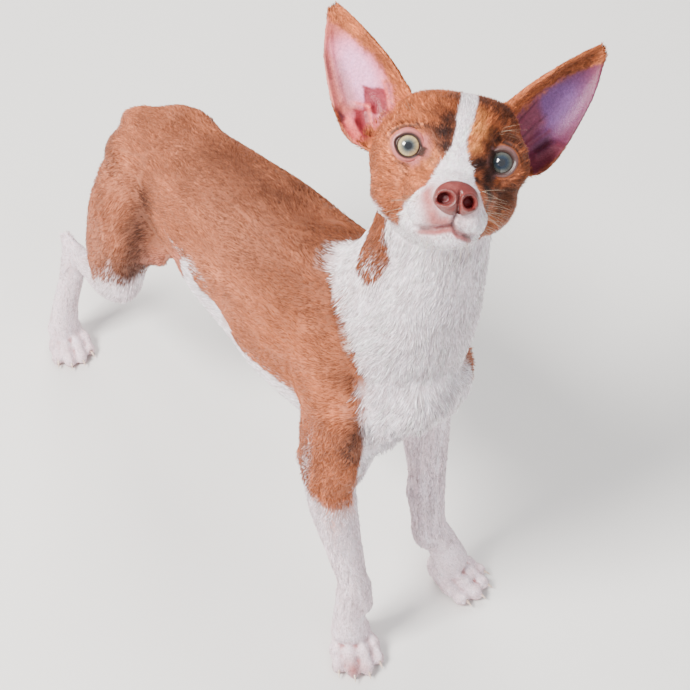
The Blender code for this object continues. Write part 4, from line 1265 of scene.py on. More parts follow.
def pelt_of(points):
    """Colour and share of white for each point of the skin."""
    local = to_head(points)
    mm, head_mm = points * MILLI, local * MILLI
    ripple = 0.6 * waves(points, 0.0040, 3) + 0.4 * waves(points, 0.0016, 4)
    broad = waves(points, 0.030, 5)
    above = above_base(local) * MILLI
    on_head = fade(above, 3.0)
    neck = white_of_neck(points, ripple)
    trunk = white_of_trunk(mm, ripple)
    white = np.minimum(neck, trunk) * (1 - on_head) + white_of_head(head_mm, ripple) * on_head
    red = np.maximum(on_head, fade(above + 38, 12.0) * fade(mm[:, 2] - 236, 12.0))
    red = np.maximum(red, fade(172 - mm[:, 2], 22.0) * fade(-mm[:, 1] - 80, 20.0))
    red = np.maximum(red, 0.6 * fade(-mm[:, 1] - 60, 40.0))
    shaded = mix(np.tile(CHESTNUT, (len(mm), 1)), RED_CHESTNUT, red) * (1 + 0.12 * broad)[:, None]
    dark = spotted(head_mm, DARK_SPOTS_AND_SHADE, ripple)
    ginger = spotted(head_mm, GINGER_SPOTS, ripple)
    # painted shade in the creases joins the dark spots
    for run, radius, strength in PAINTED_SHADE_RUNS:
        dark = np.maximum(dark, strength * hill(from_run(mm, run), 0, radius * (1 + 0.15 * ripple)))
    spine = hill(mm[:, 0], SPINE_X, 16) * step(mm[:, 2], 196, 222) * (1 - on_head) * 0.42
    shaded = mix(shaded, DARK_CHESTNUT, np.maximum(dark, spine))
    shaded = mix(shaded, FOLD_PINK, 0.55 * hill(from_run(mm, FOLD_SKIN), 0, 7.0))
    cape = step(mm[:, 2], 196, 224) * fade(25 - mm[:, 1], 60) * fade(-above - 50, 20)
    shaded = shaded * (1 - 0.34 * cape)[:, None]
    shaded = mix(shaded, GINGER, ginger * (1 - dark))
    white = white * (1 - brown_of_arms(mm, ripple))
    tail = from_run(mm, TAIL_RUN)
    is_tail = (tail < 11) & (mm[:, 1] > 97) & (mm[:, 2] > 60)
    white = np.where(is_tail, fade(112 - mm[:, 2] + 3 * ripple, 6.0), white)
    low = step(-mm[:, 2], -150, -90)
    pale = mix(np.tile(WHITE_HAIR, (len(mm), 1)), WHITE_HAIR * LEG_TINT, low)
    colour = mix(shaded, pale, white)
    return colour, white


# %% [markdown]
# Bare skin
#
# Inside the ears, round the eyes, on the lips, round the nose and between the toes
# the hair is too thin to hide the skin, which is pink there.

# %% Paint the bare places
EAR_BAND = {        # how far the hair reaches in from the front edge: (rise, across)
    -1: ((0.0, 0.30), (0.38, 0.27), (0.55, 0.25), (0.70, 0.33), (0.80, 0.42), (0.90, 0.60), (1.0, 0.9)),
    1: ((0.0, 0.24), (0.30, 0.32), (0.60, 0.34), (0.70, 0.37), (0.80, 0.44), (0.90, 0.62), (1.0, 1.0))}
EAR_PATCHES = {     # colour, strength, and corners in (across, rise)
    -1: ((EAR_SALMON, 0.75, ((0.74, 0.36), (1.0, 0.36), (1.0, 0.97), (0.90, 0.97), (0.76, 0.62)), 5.0),
         (EAR_SALMON, 0.7, ((0.45, 0.82), (1.0, 0.80), (1.0, 1.0), (0.5, 1.0)), 7.0),
         (EAR_DEEP, 0.95, ((0.41, 0.21), (0.70, 0.33), (0.60, 0.49), (0.31, 0.39)), 1.2),
         (EAR_DEEP * 1.05, 0.95, ((0.66, 0.15), (0.88, 0.19), (0.82, 0.38), (0.64, 0.33)), 1.4),
         # painted shade in the pocket
         (EAR_CREASE_SHADE, 0.95, ((0.93, 0.26), (1.02, 0.28), (1.02, 0.46), (0.92, 0.42)), 1.2),
         # painted highlight on the raised lobe
         (EAR_PINK * 1.25, 0.9, ((0.86, 0.13), (0.99, 0.15), (0.96, 0.32), (0.88, 0.36)), 1.6)),
    1: ((EAR_ROSE, 0.85, ((0.30, 0.22), (0.74, 0.24), (0.68, 0.47), (0.32, 0.52)), 4.0),
        # painted highlight on the raised lobe of the left ear
        (EAR_PINK * 1.10, 0.7, ((0.86, 0.22), (0.99, 0.26), (0.99, 0.44), (0.88, 0.42)), 2.0),
        # painted shade in the pocket of the left ear
        (EAR_CREASE_SHADE * 2, 0.5, ((0.79, 0.28), (0.86, 0.28), (0.88, 0.42), (0.83, 0.42)), 2.0))}
# Lines on the bowl: the lighter pink ones are painted highlights along ridges of the relief, the
# darkest ones painted shade beside folds, the mauve one a painted shadow across the bowl, and the red
# ones the rear rim's own colour
EAR_LINES = {       # colour, strength, half width in mm, and the two ends of a thin fold
    # the next three are painted highlights along ridges
    -1: ((EAR_PINK * 1.2, 0.9, 0.7, (0.70, 0.20), (0.63, 0.35)),
         (EAR_PINK * 1.2, 0.8, 0.7, (0.63, 0.35), (0.80, 0.43)),
         (EAR_PINK * 1.2, 0.9, 0.7, (0.38, 0.26), (0.29, 0.44)),
         (EAR_CREASE_SHADE, 0.55, 0.45, (0.34, 0.27), (0.25, 0.42)),
         (EAR_PAINTED_SHADOW, 0.55, 2.2, (0.80, 0.44), (0.76, 0.66)),
         (EAR_CREASE_SHADE * 1.5, 0.9, 0.7, (0.91, 0.60), (0.87, 0.92)),
         (EAR_RED, 0.6, 1.6, (0.95, 0.42), (0.94, 0.95))),
    # painted highlight along a ridge
    1: ((EAR_PINK * 1.3, 0.6, 0.7, (0.70, 0.26), (0.78, 0.45)),
        (EAR_CREASE_SHADE * 2, 0.6, 0.5, (0.40, 0.28), (0.36, 0.50)),
        (EAR_CREASE_SHADE * 2, 0.5, 0.5, (0.58, 0.22), (0.62, 0.50)),
        (EAR_RED * 0.7, 0.6, 1.3, (0.96, 0.50), (0.94, 0.95)))}
EAR_SCALE = np.array((EAR_WIDTH, EAR_LENGTH))
PINK_TOE = np.array((-69.5, -149.0, 8.0))       # outer toe of the right forepaw, in mm
NOSE_SPOT = (-0.6, 31.5, -17.2)                 # the nose's middle, in mm of the head's frame


def in_patch(place, corners, soft):
    """1 inside a convex patch of the bowl, 0 outside it."""
    ring = np.array(corners) * EAR_SCALE
    ahead = np.roll(ring, -1, axis=0) - ring
    area = (ring[:, 0] * np.roll(ring[:, 1], -1) - ring[:, 1] * np.roll(ring[:, 0], -1)).sum()
    depth = np.full(len(place), 1e9)
    for corner, way in zip(ring, ahead):
        offset = place * EAR_SCALE - corner
        side = (way[0] * offset[:, 1] - way[1] * offset[:, 0]) * np.sign(area)
        depth = np.minimum(depth, side / np.linalg.norm(way))
    return fade(depth, soft)


def paint_ears(colour, local, normals):
    """A lilac bowl with hair along its front edge and deep pink folds, with painted highlights on its
    ridges and lobe, a pocket and fold lines darkened with painted shade, and painted shade all over the
    left ear.
    """
    bare = np.zeros(len(local))
    for side in (-1, 1):
        front, rear = (edge * (side, 1, 1) for edge in ear_edges(side)[:2])
        chosen = np.nonzero((ear_share(local) > 0.3) & (local[:, 0] * side > 0))[0]
        place = local[chosen]
        level = np.linalg.norm(place[:, None] - ((front + rear) / 2)[None], axis=2).argmin(axis=1)
        reach = rear[level] - front[level]
        across = ((place - front[level]) * reach).sum(axis=1) / (reach ** 2).sum(axis=1)
        along_ear = np.gradient(front + rear, axis=0)[level]
        step_on = ((place - (front[level] + rear[level]) / 2) * along_ear).sum(axis=1)
        level = level + np.clip(2 * step_on / (along_ear ** 2).sum(axis=1), -0.5, 0.5)
        back = np.cross(reach, along_ear) * side
        inner = fade(-(normals[chosen] * back).sum(axis=1) / np.linalg.norm(back, axis=1), 0.5)
        rise = level / (len(front) - 1)
        width = np.linalg.norm(reach, axis=1)
        ragged = 0.020 * waves(place, 0.0050, 8 + side) + 0.022 * waves(place, 0.0018, 18 + side)
        band = along(rise, EAR_BAND[side]) + ragged
        hair = drop(across, band - 0.10, band + 0.05)
        rim = drop((1 - across) * width, 0.0004, 0.0013)
        tip = 0.85 * step(rise, 0.91, 0.99)
        hair = most(hair, 0.75 * rim, tip)
        wobble = np.column_stack([waves(place, 0.006, 41), 0.4 * waves(place, 0.006, 42)])
        flat = np.column_stack([across, rise]) + 0.012 * wobble
        lilac = hill(across, 0.58, 0.27) * hill(rise, 0.56, 0.22)
        pink = mix(np.tile(EAR_PINK, (len(place), 1)), EAR_LILAC, np.clip(1.5 * lilac, 0, 1))
        for tone, strength, corners, soft in EAR_PATCHES[side]:
            pink = mix(pink, tone, strength * in_patch(flat, corners, soft))
        for tone, strength, half, start, end in EAR_LINES[side]:
            line = relief(across, rise, ((start, end, half, 1.0),)) * MILLI
            pink = mix(pink, tone, strength * line)
        veins = waves(place * (1, 1, 0.35), 0.0030, 28 + side)
        # on the left ear this multiplies in painted shade
        pink = pink * (1 + 0.05 * veins)[:, None] * EAR_SHADE[side]
        inside = inner * (1 - hair)
        colour[chosen] = mix(colour[chosen], pink, inside)
        bare[chosen] = inside
    return bare


def paint_face(colour, local, bare):
    mm = local * MILLI
    x, y, z = mm.T
    for side in (-1, 1):
        reach, off, turn = around_eye(local, side)[1:]
        past = np.degrees(off - lid_edge(turn, side))
        near = drop(reach, 0.0128, 0.0150)
        wide = 13.0 if side < 0 else 7.0
        pink = near * drop(past, wide - 2.5, wide + 2.5)
        close = drop(reach, 0.0150, 0.0180)
        corner = close * hill(np.degrees(turn), -8, 22) * drop(past, 16, 26)
        pink = np.maximum(pink, 0.9 * corner)
        lay(colour, PINK_SKIN * LID_TINT[side], pink)
        liner = near * drop(past, 1.0, 3.0)
        lay(colour, LID_LINE, liner)
        bare[:] = np.maximum(bare, pink)
        # Painted shade: the crease above each eye and the fold below it are darkened
        around = drop(reach, 0.0150, 0.0185)
        crease = around * hill(past, 21, 3.2) * step(np.sin(turn), -0.1, 0.6)
        lay(colour, DARK_CHESTNUT, 0.92 * crease)
        below = around * hill(past, 17, 2.0) * step(-np.sin(turn), 0.2, 0.8)
        lay(colour, DARK_CHESTNUT, 0.55 * below)
    line = mouth_line(local[:, 0]) * MILLI
    front = step(y, 6, 14) * drop(np.abs(x), 15, 20)
    lower = front * step(-(z - line), -0.2, 0.6) * drop(-(z - line), 1.7, 3.3)
    upper = front * hill(z, line + 0.6, 0.9) * drop(np.abs(x), 13, 18)
    lay(colour, LIP_PINK, 0.88 * lower)
    lay(colour, LIP_PINK * 0.75, 0.85 * upper)
    # Painted shade in the groove between the lips
    slit = front * hill(z, line, 0.45)
    lay(colour, MOUTH_GROOVE_SHADE, 0.9 * slit)
    nose_reach = np.linalg.norm((mm - NOSE_SPOT) / (1.0, 1.0, 0.85), axis=1)
    blush = drop(nose_reach, 9.0, 13.5) * 0.55
    beside = hill(from_run(mm, BLUSH_RUN), 0, 5.6) * 0.95
    spots = step(waves(local, 0.0032, 12), 0.25, 0.9) * drop(nose_reach, 12, 22) * 0.35
    pinkness = most(blush, spots, beside) * step(y, 6, 12)
    lay(colour, PINK_SKIN, pinkness)
    flecks = step(waves(local, 0.0011, 13), 0.35, 1.1) * hill(z, line + 2.2, 2.4) * front
    lay(colour, LIP_FLECK, 0.55 * flecks)
    # Painted shade in the split below the nose
    split = hill(x, 0.1, 0.55) * step(y, 22, 26) * step(z, -29, -28) * drop(z, -23, -20)
    lay(colour, SPLIT_GROOVE_SHADE, 0.9 * split)
    for share in (lower, upper, drop(nose_reach, 9.0, 11.0), split,
                  0.8 * beside * step(y, 6, 12)):
        bare[:] = np.maximum(bare, share)


def paint_toes(mesh, colour, points, bare):
    """Pink soles, pink grooves between the toes, and one toe that is pink all over."""
    pads = drop(points[:, 2], 0.0010, 0.0035)
    between = hollows(mesh) * drop(points[:, 2], 0.013, 0.020)
    faint = drop(points[:, 2], 0.006, 0.020) * (0.10 + 0.10 * waves(points, 0.008, 21))
    pink = most(0.8 * pads, 0.85 * between, faint)
    lay(colour, PINK_SKIN, np.clip(pink, 0, 1))
    toe = hill(np.linalg.norm(points * MILLI - PINK_TOE, axis=1), 0, 6.5)
    lay(colour, PINK_SKIN * 0.85, 0.85 * toe)
    bare[:] = np.maximum(bare, np.maximum(pads, 0.5 * toe))


def paint(mesh):
    """Colour, bareness and whiteness for each point of a mesh of the skin."""
    points = points_of(mesh)
    normals = normals_of(mesh)
    local = to_head(points)
    colour, white = pelt_of(points)
    streak = streaks_of(points)
    strong = (0.18 + 0.13 * head_share(local)) * (1 - 0.7 * white)
    colour *= np.exp(strong * np.clip(streak, -2.2, 2.2))[:, None]
    gap = np.clip(-streak - 0.5, 0, 1.5) * white
    colour *= 1 - gap[:, None] * np.array((0.05, 0.09, 0.09))
    bare = paint_ears(colour, local, normals @ HEAD_TURN)
    paint_face(colour, local, bare)
    paint_toes(mesh, colour, points, bare)
    return np.clip(colour, 0.004, 0.95), bare, white


def store(mesh, name, kind, values):
    attribute = mesh.attributes.new(name, kind, "POINT")
    field = {"FLOAT_COLOR": "color", "FLOAT_VECTOR": "vector"}.get(kind, "value")
    if kind == "FLOAT_COLOR":
        values = np.column_stack([values, np.ones(len(values))])
    attribute.data.foreach_set(field, np.asarray(values).ravel())


pelt, bare, white_share = paint(skin.data)
store(skin.data, "pelt", "FLOAT_COLOR", pelt)
store(skin.data, "bare", "FLOAT", bare)
print("white share of the skin:", round(float(white_share.mean()), 3))

# %% Skin material


def skin_material():
    """The painted hide with specks and pores, glossier where it is bare."""
    material, tree = new_material("short_haired_hide")
    fine = noise(tree, 900.0, 4.0, 0.6)
    speck = ramp(tree, fine, (0.3, 0.72), (0.7, 1.12))
    cloud = ramp(tree, noise(tree, 70.0, 3.0), (0.3, (0.90, 0.88, 0.88)), (0.7, 1.06))
    tone = multiply(tree, multiply(tree, painted(tree, "pelt", "Color"), speck), cloud)
    rough = add(tree, "ShaderNodeMapRange", Value=painted(tree, "bare"), To_Min=0.62, To_Max=0.42)
    height = add(tree, "ShaderNodeMath", fine, cells(tree, 1500.0), operation="ADD")
    set_shader(tree, (height.outputs["Value"], 0.35, 0.0004), Base_Color=tone,
               Roughness=rough.outputs["Result"], Subsurface_Weight=0.12, Subsurface_Scale=1.0,
               Subsurface_Radius=(0.0022, 0.0009, 0.0006), Specular_IOR_Level=0.30)
    return material


skin = finish_piece(skin, "skin", skin_material(), "brown_coat", FLESH + list(EARS))
print("the skin is painted and stands for", len(FLESH) + len(EARS), "solids")

# %% [markdown]
# Eyes
#
# The eyeball is turned from a profile about the line of sight: a ball whose front
# bulges a little where the cornea is. The pupil, the iris with its radial fibres,
# the dark limbal ring and the white are painted by the angle from that line, and
# a clear coat gives the wet gloss.

# %% Eyeballs
IRIS_ANGLE = math.radians(27.0)
PUPIL_ANGLE = math.radians(8.5)
CORNEA_BULGE = 0.0005
EYE_RINGS = 72
EYE_SPOKES = 96
# The left eye's tones are greyer and much darker: partly its own colour, partly painted shade of the
# dog's left side
IRIS_TONES = {        # middle, round the pupil, and outer part
    -1: ((0.29, 0.25, 0.150), (0.080, 0.095, 0.095), (0.45, 0.34, 0.165)),
    1: ((0.036, 0.046, 0.050), (0.011, 0.021, 0.038), (0.060, 0.061, 0.053))}


def spun(axes, off, turn):
    """The way at an angle off the gaze and a turn round it."""
    inward, up, ahead = axes
    return ahead * math.cos(off) + (inward * math.cos(turn) + up * math.sin(turn)) * math.sin(off)


def eyeball(side):
    axes, centre = eye_axes(side), np.array(EYES[side])
    edit = bmesh.new()
    rings = []
    for off in np.linspace(0, math.pi, EYE_RINGS + 1):
        radius = EYE_RADIUS + CORNEA_BULGE * float(drop(off, 0.10, IRIS_ANGLE * 1.05))
        spokes = EYE_SPOKES if 0 < off < math.pi else 1         # a pole is one point
        rings.append([edit.verts.new(from_head(centre + radius * spun(axes, off, turn)))
                      for turn in 2 * math.pi * np.arange(spokes) / spokes])
    fan(edit, rings[0][0], rings[1])
    fan(edit, rings[-1][0], rings[-2])
    loft(edit, rings[1:-1])
    mesh = mesh_from(edit, "eyeball")
    off, turn = around_eye(to_head(points_of(mesh)), side)[2:]
    store(mesh, "off_gaze", "FLOAT", off / IRIS_ANGLE)
    spoke = np.column_stack([np.cos(turn), np.sin(turn), np.zeros(len(turn))])
    store(mesh, "spoke", "FLOAT_VECTOR", spoke)
    return mesh


def eye_material(side):
    """Pupil, iris with fibres, limbal ring and white by the angle off the gaze, under a wet coat."""
    material, tree = new_material("iris_beige" if side < 0 else "iris_grey")
    middle, edge, light = IRIS_TONES[side]
    off = painted(tree, "off_gaze")
    pupil = PUPIL_ANGLE / IRIS_ANGLE
    base = ramp(tree, off, (0.0, (0.012, 0.014, 0.018)), (pupil * 0.88, (0.016, 0.018, 0.022)),
                (pupil * 1.40, edge), (pupil * 2.15, middle), (0.78, light), (0.90, light),
                (0.945, tuple(0.45 * v for v in light)), (0.99, (0.045, 0.022, 0.018)))
    fibres = add(tree, "ShaderNodeTexNoise", Vector=painted(tree, "spoke", "Vector"), Scale=9.0,
                 Detail=5.0, Roughness=0.65).outputs["Fac"]
    tone = multiply(tree, base, ramp(tree, fibres, (0.35, 0.62), (0.65, 1.18)))
    white = add(tree, "ShaderNodeMapRange", Value=off, From_Min=1.08, From_Max=1.20)
    tone = blend(tree, white.outputs["Result"], tone, (0.42, 0.30, 0.27))
    set_shader(tree, Base_Color=tone, Roughness=0.12, Coat_Weight=1.0, Coat_Roughness=0.02)
    return material


for side, node in ((-1, "eye_right"), (1, "eye_left")):
    finish_piece(eyeball(side), node + "_globe", eye_material(side), "eye_gloss", [node])

# %% [markdown]
# Lids
#
# A thin rim of bare skin frames each eye, dark where it meets the ball: the lid's own
# margin, which along the upper lid is wider as painted shadow of the lid. It is a ring
# lofted round the opening, with its outer edge under the skin of the face.

# %% Lid rims
LID_PROFILE = (                      # (reach beyond the eyeball, angle past the opening's edge)
    (-0.0006, 0.5), (0.00002, -1.6), (0.00022, -1.9), (0.00052, -1.2), (0.00085, 0.9),
    (0.00112, 3.6), (0.00122, 7.0), (0.00118, 10.5), (0.00106, 14.0), (0.00070, 18.5),
    (0.00010, 21.0), (-0.0006, 18.0), (-0.0009, 9.0))
LID_TURNS = 120
LID_WIDTH = {-1: 0.58, 1: 0.40}      # of the profile, at the side of and below each eye


def lid_ring(side):
    axes, centre = eye_axes(side), np.array(EYES[side])
    profile = np.array(LID_PROFILE)
    fine = catmull(np.vstack([profile, profile[:1]]), 3)[:-1]
    edit = bmesh.new()
    rings, tags = [], []
    for turn in 2 * math.pi * np.arange(LID_TURNS) / LID_TURNS:
        edge = float(lid_edge(np.array([turn]), side)[0])
        above = max(0.0, math.sin(turn))
        wide = LID_WIDTH[side] + 0.42 * above
        ring = []
        for beyond, past in fine:
            past = past * wide if past > 0 else past
            way = spun(axes, edge + math.radians(past), turn)
            ring.append(edit.verts.new(from_head(centre + way * (EYE_RADIUS + beyond))))
            # Along the upper lid the tag grows more slowly with the angle, so the dark band reaches
            # further from the ball there: painted shadow of the lid
            tags.append(past / (1 + 0.9 * above) if past > 0 else past)
        rings.append(ring)
    loft(edit, rings, closed=True)
    mesh = mesh_from(edit, "lid")
    store(mesh, "past_edge", "FLOAT", np.array(tags))
    return mesh


def lid_material(side):
    """Pink bare skin, dark along the ball: the lid's own margin, wider along the upper lid as painted
    shadow.
    """
    material, tree = new_material("lid_skin_right" if side < 0 else "lid_skin_left")
    past = add(tree, "ShaderNodeMapRange", Value=painted(tree, "past_edge"), From_Min=-2.0,
               From_Max=18.0)
    speck = noise(tree, 900.0, 4.0)
    # on the left eye this pink is darkened as painted shade
    pink = PINK_SKIN * LID_TINT[side]
    tone = ramp(tree, past.outputs["Result"], (0.0, (0.030, 0.012, 0.010)),
                (0.13, (0.040, 0.016, 0.013)), (0.19, 0.5 * pink), (0.28, pink), (1.0, 0.85 * pink))
    set_shader(tree, (speck, 0.3, 0.0003), Roughness=0.38, Subsurface_Weight=0.1,
               Base_Color=multiply(tree, tone, ramp(tree, speck, (0.3, 0.8), (0.7, 1.1))),
               Subsurface_Radius=(0.002, 0.0008, 0.0005))
    return material


for side, name in ((-1, "lid_right"), (1, "lid_left")):
    finish_piece(lid_ring(side), name, lid_material(side), "ear_skin")

# %% [markdown]
# Nose
#
# The nose is hairless leather with a fine cobbled grain. A ball with its pole to
# the front is shaped by a handful of pushes: a flatter front, a groove down the
# middle, and two nostrils that run out sideways as slits, each with a raised wing.

# %% Nose leather
NOSE_RADII = np.array((0.0091, 0.0062, 0.0071))
NOSE_RINGS = 110
NOSE_SPOKES = 180


def shape_nose(unit):
    """Points on a ball of radius 1 about the nose's middle, made into a nose."""
    x, y, z = unit.T
    place = unit * NOSE_RADII
    u, w = place[:, 0] * MILLI, place[:, 2] * MILLI
    front = step(y, 0.0, 0.55)
    flat = -0.0010 * front * np.exp(-((u / 7.5) ** 4) - (w / 6.0) ** 4)
    side = np.abs(u)
    seam = 0.7 - 0.10 * w                       # the groove leans as the head does
    groove = -0.0013 * front * hill(u, seam, 0.75) * drop(w, 1.0, 4.6)
    groove -= 0.0010 * front * hill(u, seam, 1.3) * step(-w, 2.0, 5.0)
    across = np.where(u < 0, 3.1, 2.7)
    ring = np.hypot((side - 4.7) / across, (w + 0.7) / 2.7)
    hole = drop(ring, 0.55, 1.05)
    lip = hill(ring, 1.30, 0.20)
    slit = np.exp(-((side - 7.4) / 1.7) ** 2 - ((w + 2.0 + 0.25 * (side - 4.6)) / 0.75) ** 2)
    wing = np.exp(-((side - 5.0) / 2.6) ** 2 - ((w + 5.2) / 1.6) ** 2)
    push = flat + groove - 0.0048 * hole * front - 0.0013 * slit * front
    push += 0.0007 * lip * front + 0.0007 * wing * front
    place[:, 1] += push
    place[:, 0] *= 1 + 0.06 * hill(z, -0.35, 0.35)
    place[:, 2] += 0.0011 * hill(u, seam, 1.6) * step(-z, 0.5, 0.95)
    return place, np.clip(step(hole, 0.15, 0.8) + 0.6 * slit, 0, 1) * front


def nose_mesh():
    edit = bmesh.new()
    ways = [(0.0, 1.0, 0.0)]
    for off in np.linspace(0, math.pi, NOSE_RINGS + 1)[1:-1]:
        for spoke in range(NOSE_SPOKES):
            turn = 2 * math.pi * spoke / NOSE_SPOKES
            ways.append((math.sin(off) * math.cos(turn), math.cos(off), math.sin(off) * math.sin(turn)))
    ways.append((0.0, -1.0, 0.0))
    place, hole = shape_nose(np.array(ways))
    verts = [edit.verts.new(point) for point in from_head(place + NOSE_MIDDLE)]
    rings = [verts[1 + k * NOSE_SPOKES:1 + (k + 1) * NOSE_SPOKES] for k in range(NOSE_RINGS - 1)]
    fan(edit, verts[0], rings[0])
    fan(edit, verts[-1], rings[-1])
    loft(edit, rings)
    mesh = mesh_from(edit, "nose")
    store(mesh, "hollow", "FLOAT", hole)
    return mesh


def nose_material():
    material, tree = new_material("nose_leather")
    tone = ramp(tree, noise(tree, 260.0, 4.0), (0.3, (0.115, 0.022, 0.020)),
                (0.55, (0.16, 0.034, 0.030)), (0.75, (0.21, 0.053, 0.046)))
    # The nostrils and their slits are darkened: painted shade in the holes
    tone = blend(tree, painted(tree, "hollow"), tone, (0.10, 0.003, 0.005))
    set_shader(tree, (cells(tree, 1700.0), 0.45, 0.0002), Base_Color=tone, Roughness=0.34,
               Coat_Weight=0.12, Coat_Roughness=0.25, Subsurface_Weight=0.12,
               Subsurface_Radius=(0.002, 0.0006, 0.0004))
    return material


finish_piece(nose_mesh(), "nose_tip", nose_material(), "nose_leather", ["nose"])

# %% [markdown]
# Claws
#
# The sixteen claws of the solids have the right place and curve, only too few
# faces. Copies of them are welded, rounded by subdivision and joined in one piece.

# %% Claws
CLAWS = sorted(name for name in frame["nodes"] if name.startswith("claw"))


def claw_set():
    edit = bmesh.new()
    for name in CLAWS:
        edit.from_mesh(frame["nodes"][name].data)
    bmesh.ops.remove_doubles(edit, verts=edit.verts, dist=WELD)
    item = put_in_scene("claws", mesh_from(edit, "claws"))
    rounder = item.modifiers.new("rounder", "SUBSURF")
    rounder.levels = rounder.render_levels = 2
    return bake_modifiers(item)


def claw_material():
    material, tree = new_material("claw_horn")
    streak = noise(tree, 700.0, 3.0)
    tone = ramp(tree, streak, (0.3, (0.56, 0.38, 0.30)), (0.7, (0.80, 0.66, 0.56)))
    set_shader(tree, (streak, 0.2, 0.0001), Base_Color=tone, Roughness=0.3)
    return material


finish_piece(claw_set(), "claws", claw_material(), "claw_horn", CLAWS)

# %% [markdown]
# Whiskers
#
# Stiff single hairs stand on the muzzle, above the eyes and under the chin. Each
# is a closed tube of six sides that bends as it grows and ends in a point.

# %% Whiskers
WHISKER_SIDES = 6
WHISKER_RINGS = 10
WHISKER_DEPTH = 0.0004        # root below the skin
WHISKER_TAPER = 0.85          # share of the radius that is lost up to the tip
TUFT_PATCH = 0.003            # width of one hair's spot on the flat map
WHISKER_SETS = (    # count, two ends of the row of roots, way, droop, lengths and root radius in mm
    (5, (9.6, 18.6, -11.1), (13.8, 19.9, -16.6), (1.0, -0.10, 0.15), -0.45, (8, 13), 0.060),
    (9, (13.8, 20.0, -17.0), (12.8, 26.0, -23.3), (1.0, -0.20, 0.0), -0.75, (10, 17), 0.065),
    (6, (13.2, 22.0, -22.0), (15.0, 14.0, -29.0), (0.9, 0.10, -0.15), -0.7, (8, 14), 0.065),
    (7, (-12.4, 25.0, -19.0), (-15.6, 15.0, -27.0), (-1.0, -0.30, -0.05), -0.5, (8, 13), 0.070),
    (5, (15.0, 0.0, 11.0), (18.0, -4.5, 15.0), (1.0, -0.35, 0.30), -0.40, (9, 14), 0.055),
    (3, (-17.5, -6.0, 15.5), (-23.0, -11.0, 17.0), (-0.7, 0.15, 0.6), -0.2, (5, 8), 0.050),
    (12, (-9.0, 14.0, -34.5), (10.0, 22.0, -34.0), (0.0, 0.35, -1.0), -0.35, (6, 13), 0.065))


def whisker_rows(draw):
    """Root, way, droop, length and radius of each whisker, in the head's frame and metres."""
    for count, start, end, way, droop, lengths, radius in WHISKER_SETS:
        start, end = np.array(start), np.array(end)
        for index in range(count):
            share = (index + draw.uniform(0.2, 0.8)) / count
            root = start + (end - start) * share + draw.uniform(-1.2, 1.2, 3) * (0.2, 1, 1)
            lean = unit(np.array(way) + draw.uniform(-0.28, 0.28, 3))
            bend = droop * draw.uniform(0.5, 1.4)
            yield (root / MILLI, lean, bend, draw.uniform(*lengths) / MILLI,
                   radius * draw.uniform(0.8, 1.1) / MILLI)


def whisker_mesh():
    surface = BVHTree.FromPolygons([v.co for v in skin.data.vertices],
                                   [p.vertices for p in skin.data.polygons])
    edit = bmesh.new()
    chart = edit.loops.layers.uv.new("OFBake")
    down = np.array((0.0, 0.0, -1.0)) @ HEAD_TURN
    around = 2 * math.pi * np.arange(WHISKER_SIDES) / WHISKER_SIDES
    t = np.linspace(0, 1, WHISKER_RINGS)
    for root, way, droop, length, radius in whisker_rows(np.random.default_rng(SEED)):
        place = np.array(surface.find_nearest(Vector(from_head(root)))[0])
        root = to_head(place) - WHISKER_DEPTH * way
        line = root + length * (t[:, None] * way - droop * (t ** 2)[:, None] * down * 0.5)
        side = unit(np.cross(way, (0.3, 0.2, 1.0)))
        ring = np.outer(np.cos(around), side) + np.outer(np.sin(around), np.cross(way, side))
        rows = [[edit.verts.new(from_head(point + radius * (1 - WHISKER_TAPER * share) * spoke))
                 for spoke in ring] for point, share in zip(line, t)]
        tip = edit.verts.new(from_head(line[-1] + way * radius))
        last = rows[-1]
        faces = [edit.faces.new(rows[0][::-1])] + loft(edit, rows)
        faces += [edit.faces.new((a, b, tip)) for a, b in zip(last, last[1:] + last[:1])]
        spread = unit(root - SKULL_MIDDLE)
        spot = np.array((math.atan2(spread[0], spread[1]) / (2 * math.pi) + 0.5,
                         math.asin(spread[2]) / math.pi + 0.5))
        for face in faces:
            for loop, corner in zip(face.loops, ((0, 0), (1, 0), (1, 1), (0, 1)) * 2):
                loop[chart].uv = spot + TUFT_PATCH * np.array(corner)
    return mesh_from(edit, "whiskers")


def whisker_material():
    material, tree = new_material("whisker_hair")
    tone = ramp(tree, noise(tree, 400.0, 2.0), (0.3, (0.42, 0.30, 0.20)), (0.7, (0.72, 0.60, 0.46)))
    set_shader(tree, Base_Color=tone, Roughness=0.35)
    return material


finish_piece(whisker_mesh(), "whiskers", whisker_material(), "white_coat")

# %% [markdown]
# The bed of the coat
#
# The fine skin carries what each tuft needs to know: its colour, its way, its
# length, and whether there is hair at all.

# %% Dress the bed
def dress_bed():
    points = points_of(bed)
    pelt, bare = paint(bed)[:2]
    lie, length, region, chart, outward = BED_FIELDS
    length = length * (1 + 0.14 * np.clip(BED_STREAK, -2, 2))
    clear = drop(bare, 0.15, 0.6) * step(points[:, 2], 0.0012, 0.0040)
    local = to_head(points)
    for side in (-1, 1):
        reach, off, turn = around_eye(local, side)[1:]
        past = off - lid_edge(turn, side)
        clear *= 1 - drop(reach, 0.0128, 0.0140) * drop(past, 0.16, 0.27)
    for name, kind, values in (
            ("pelt", "FLOAT_COLOR", pelt), ("lie", "FLOAT_VECTOR", lie),
            ("outward", "FLOAT_VECTOR", outward), ("hair_length", "FLOAT", length),
            ("hair_share", "FLOAT", clear), ("coat_piece", "INT", region),
            ("chart", "FLOAT_VECTOR", np.column_stack([chart, np.zeros(len(chart))]))):
        store(bed, name, kind, values)
    return region, clear


bed_region, bed_share = dress_bed()
print("bed points by coat piece:", dict(zip(COATS, np.bincount(bed_region, minlength=len(COATS)))))

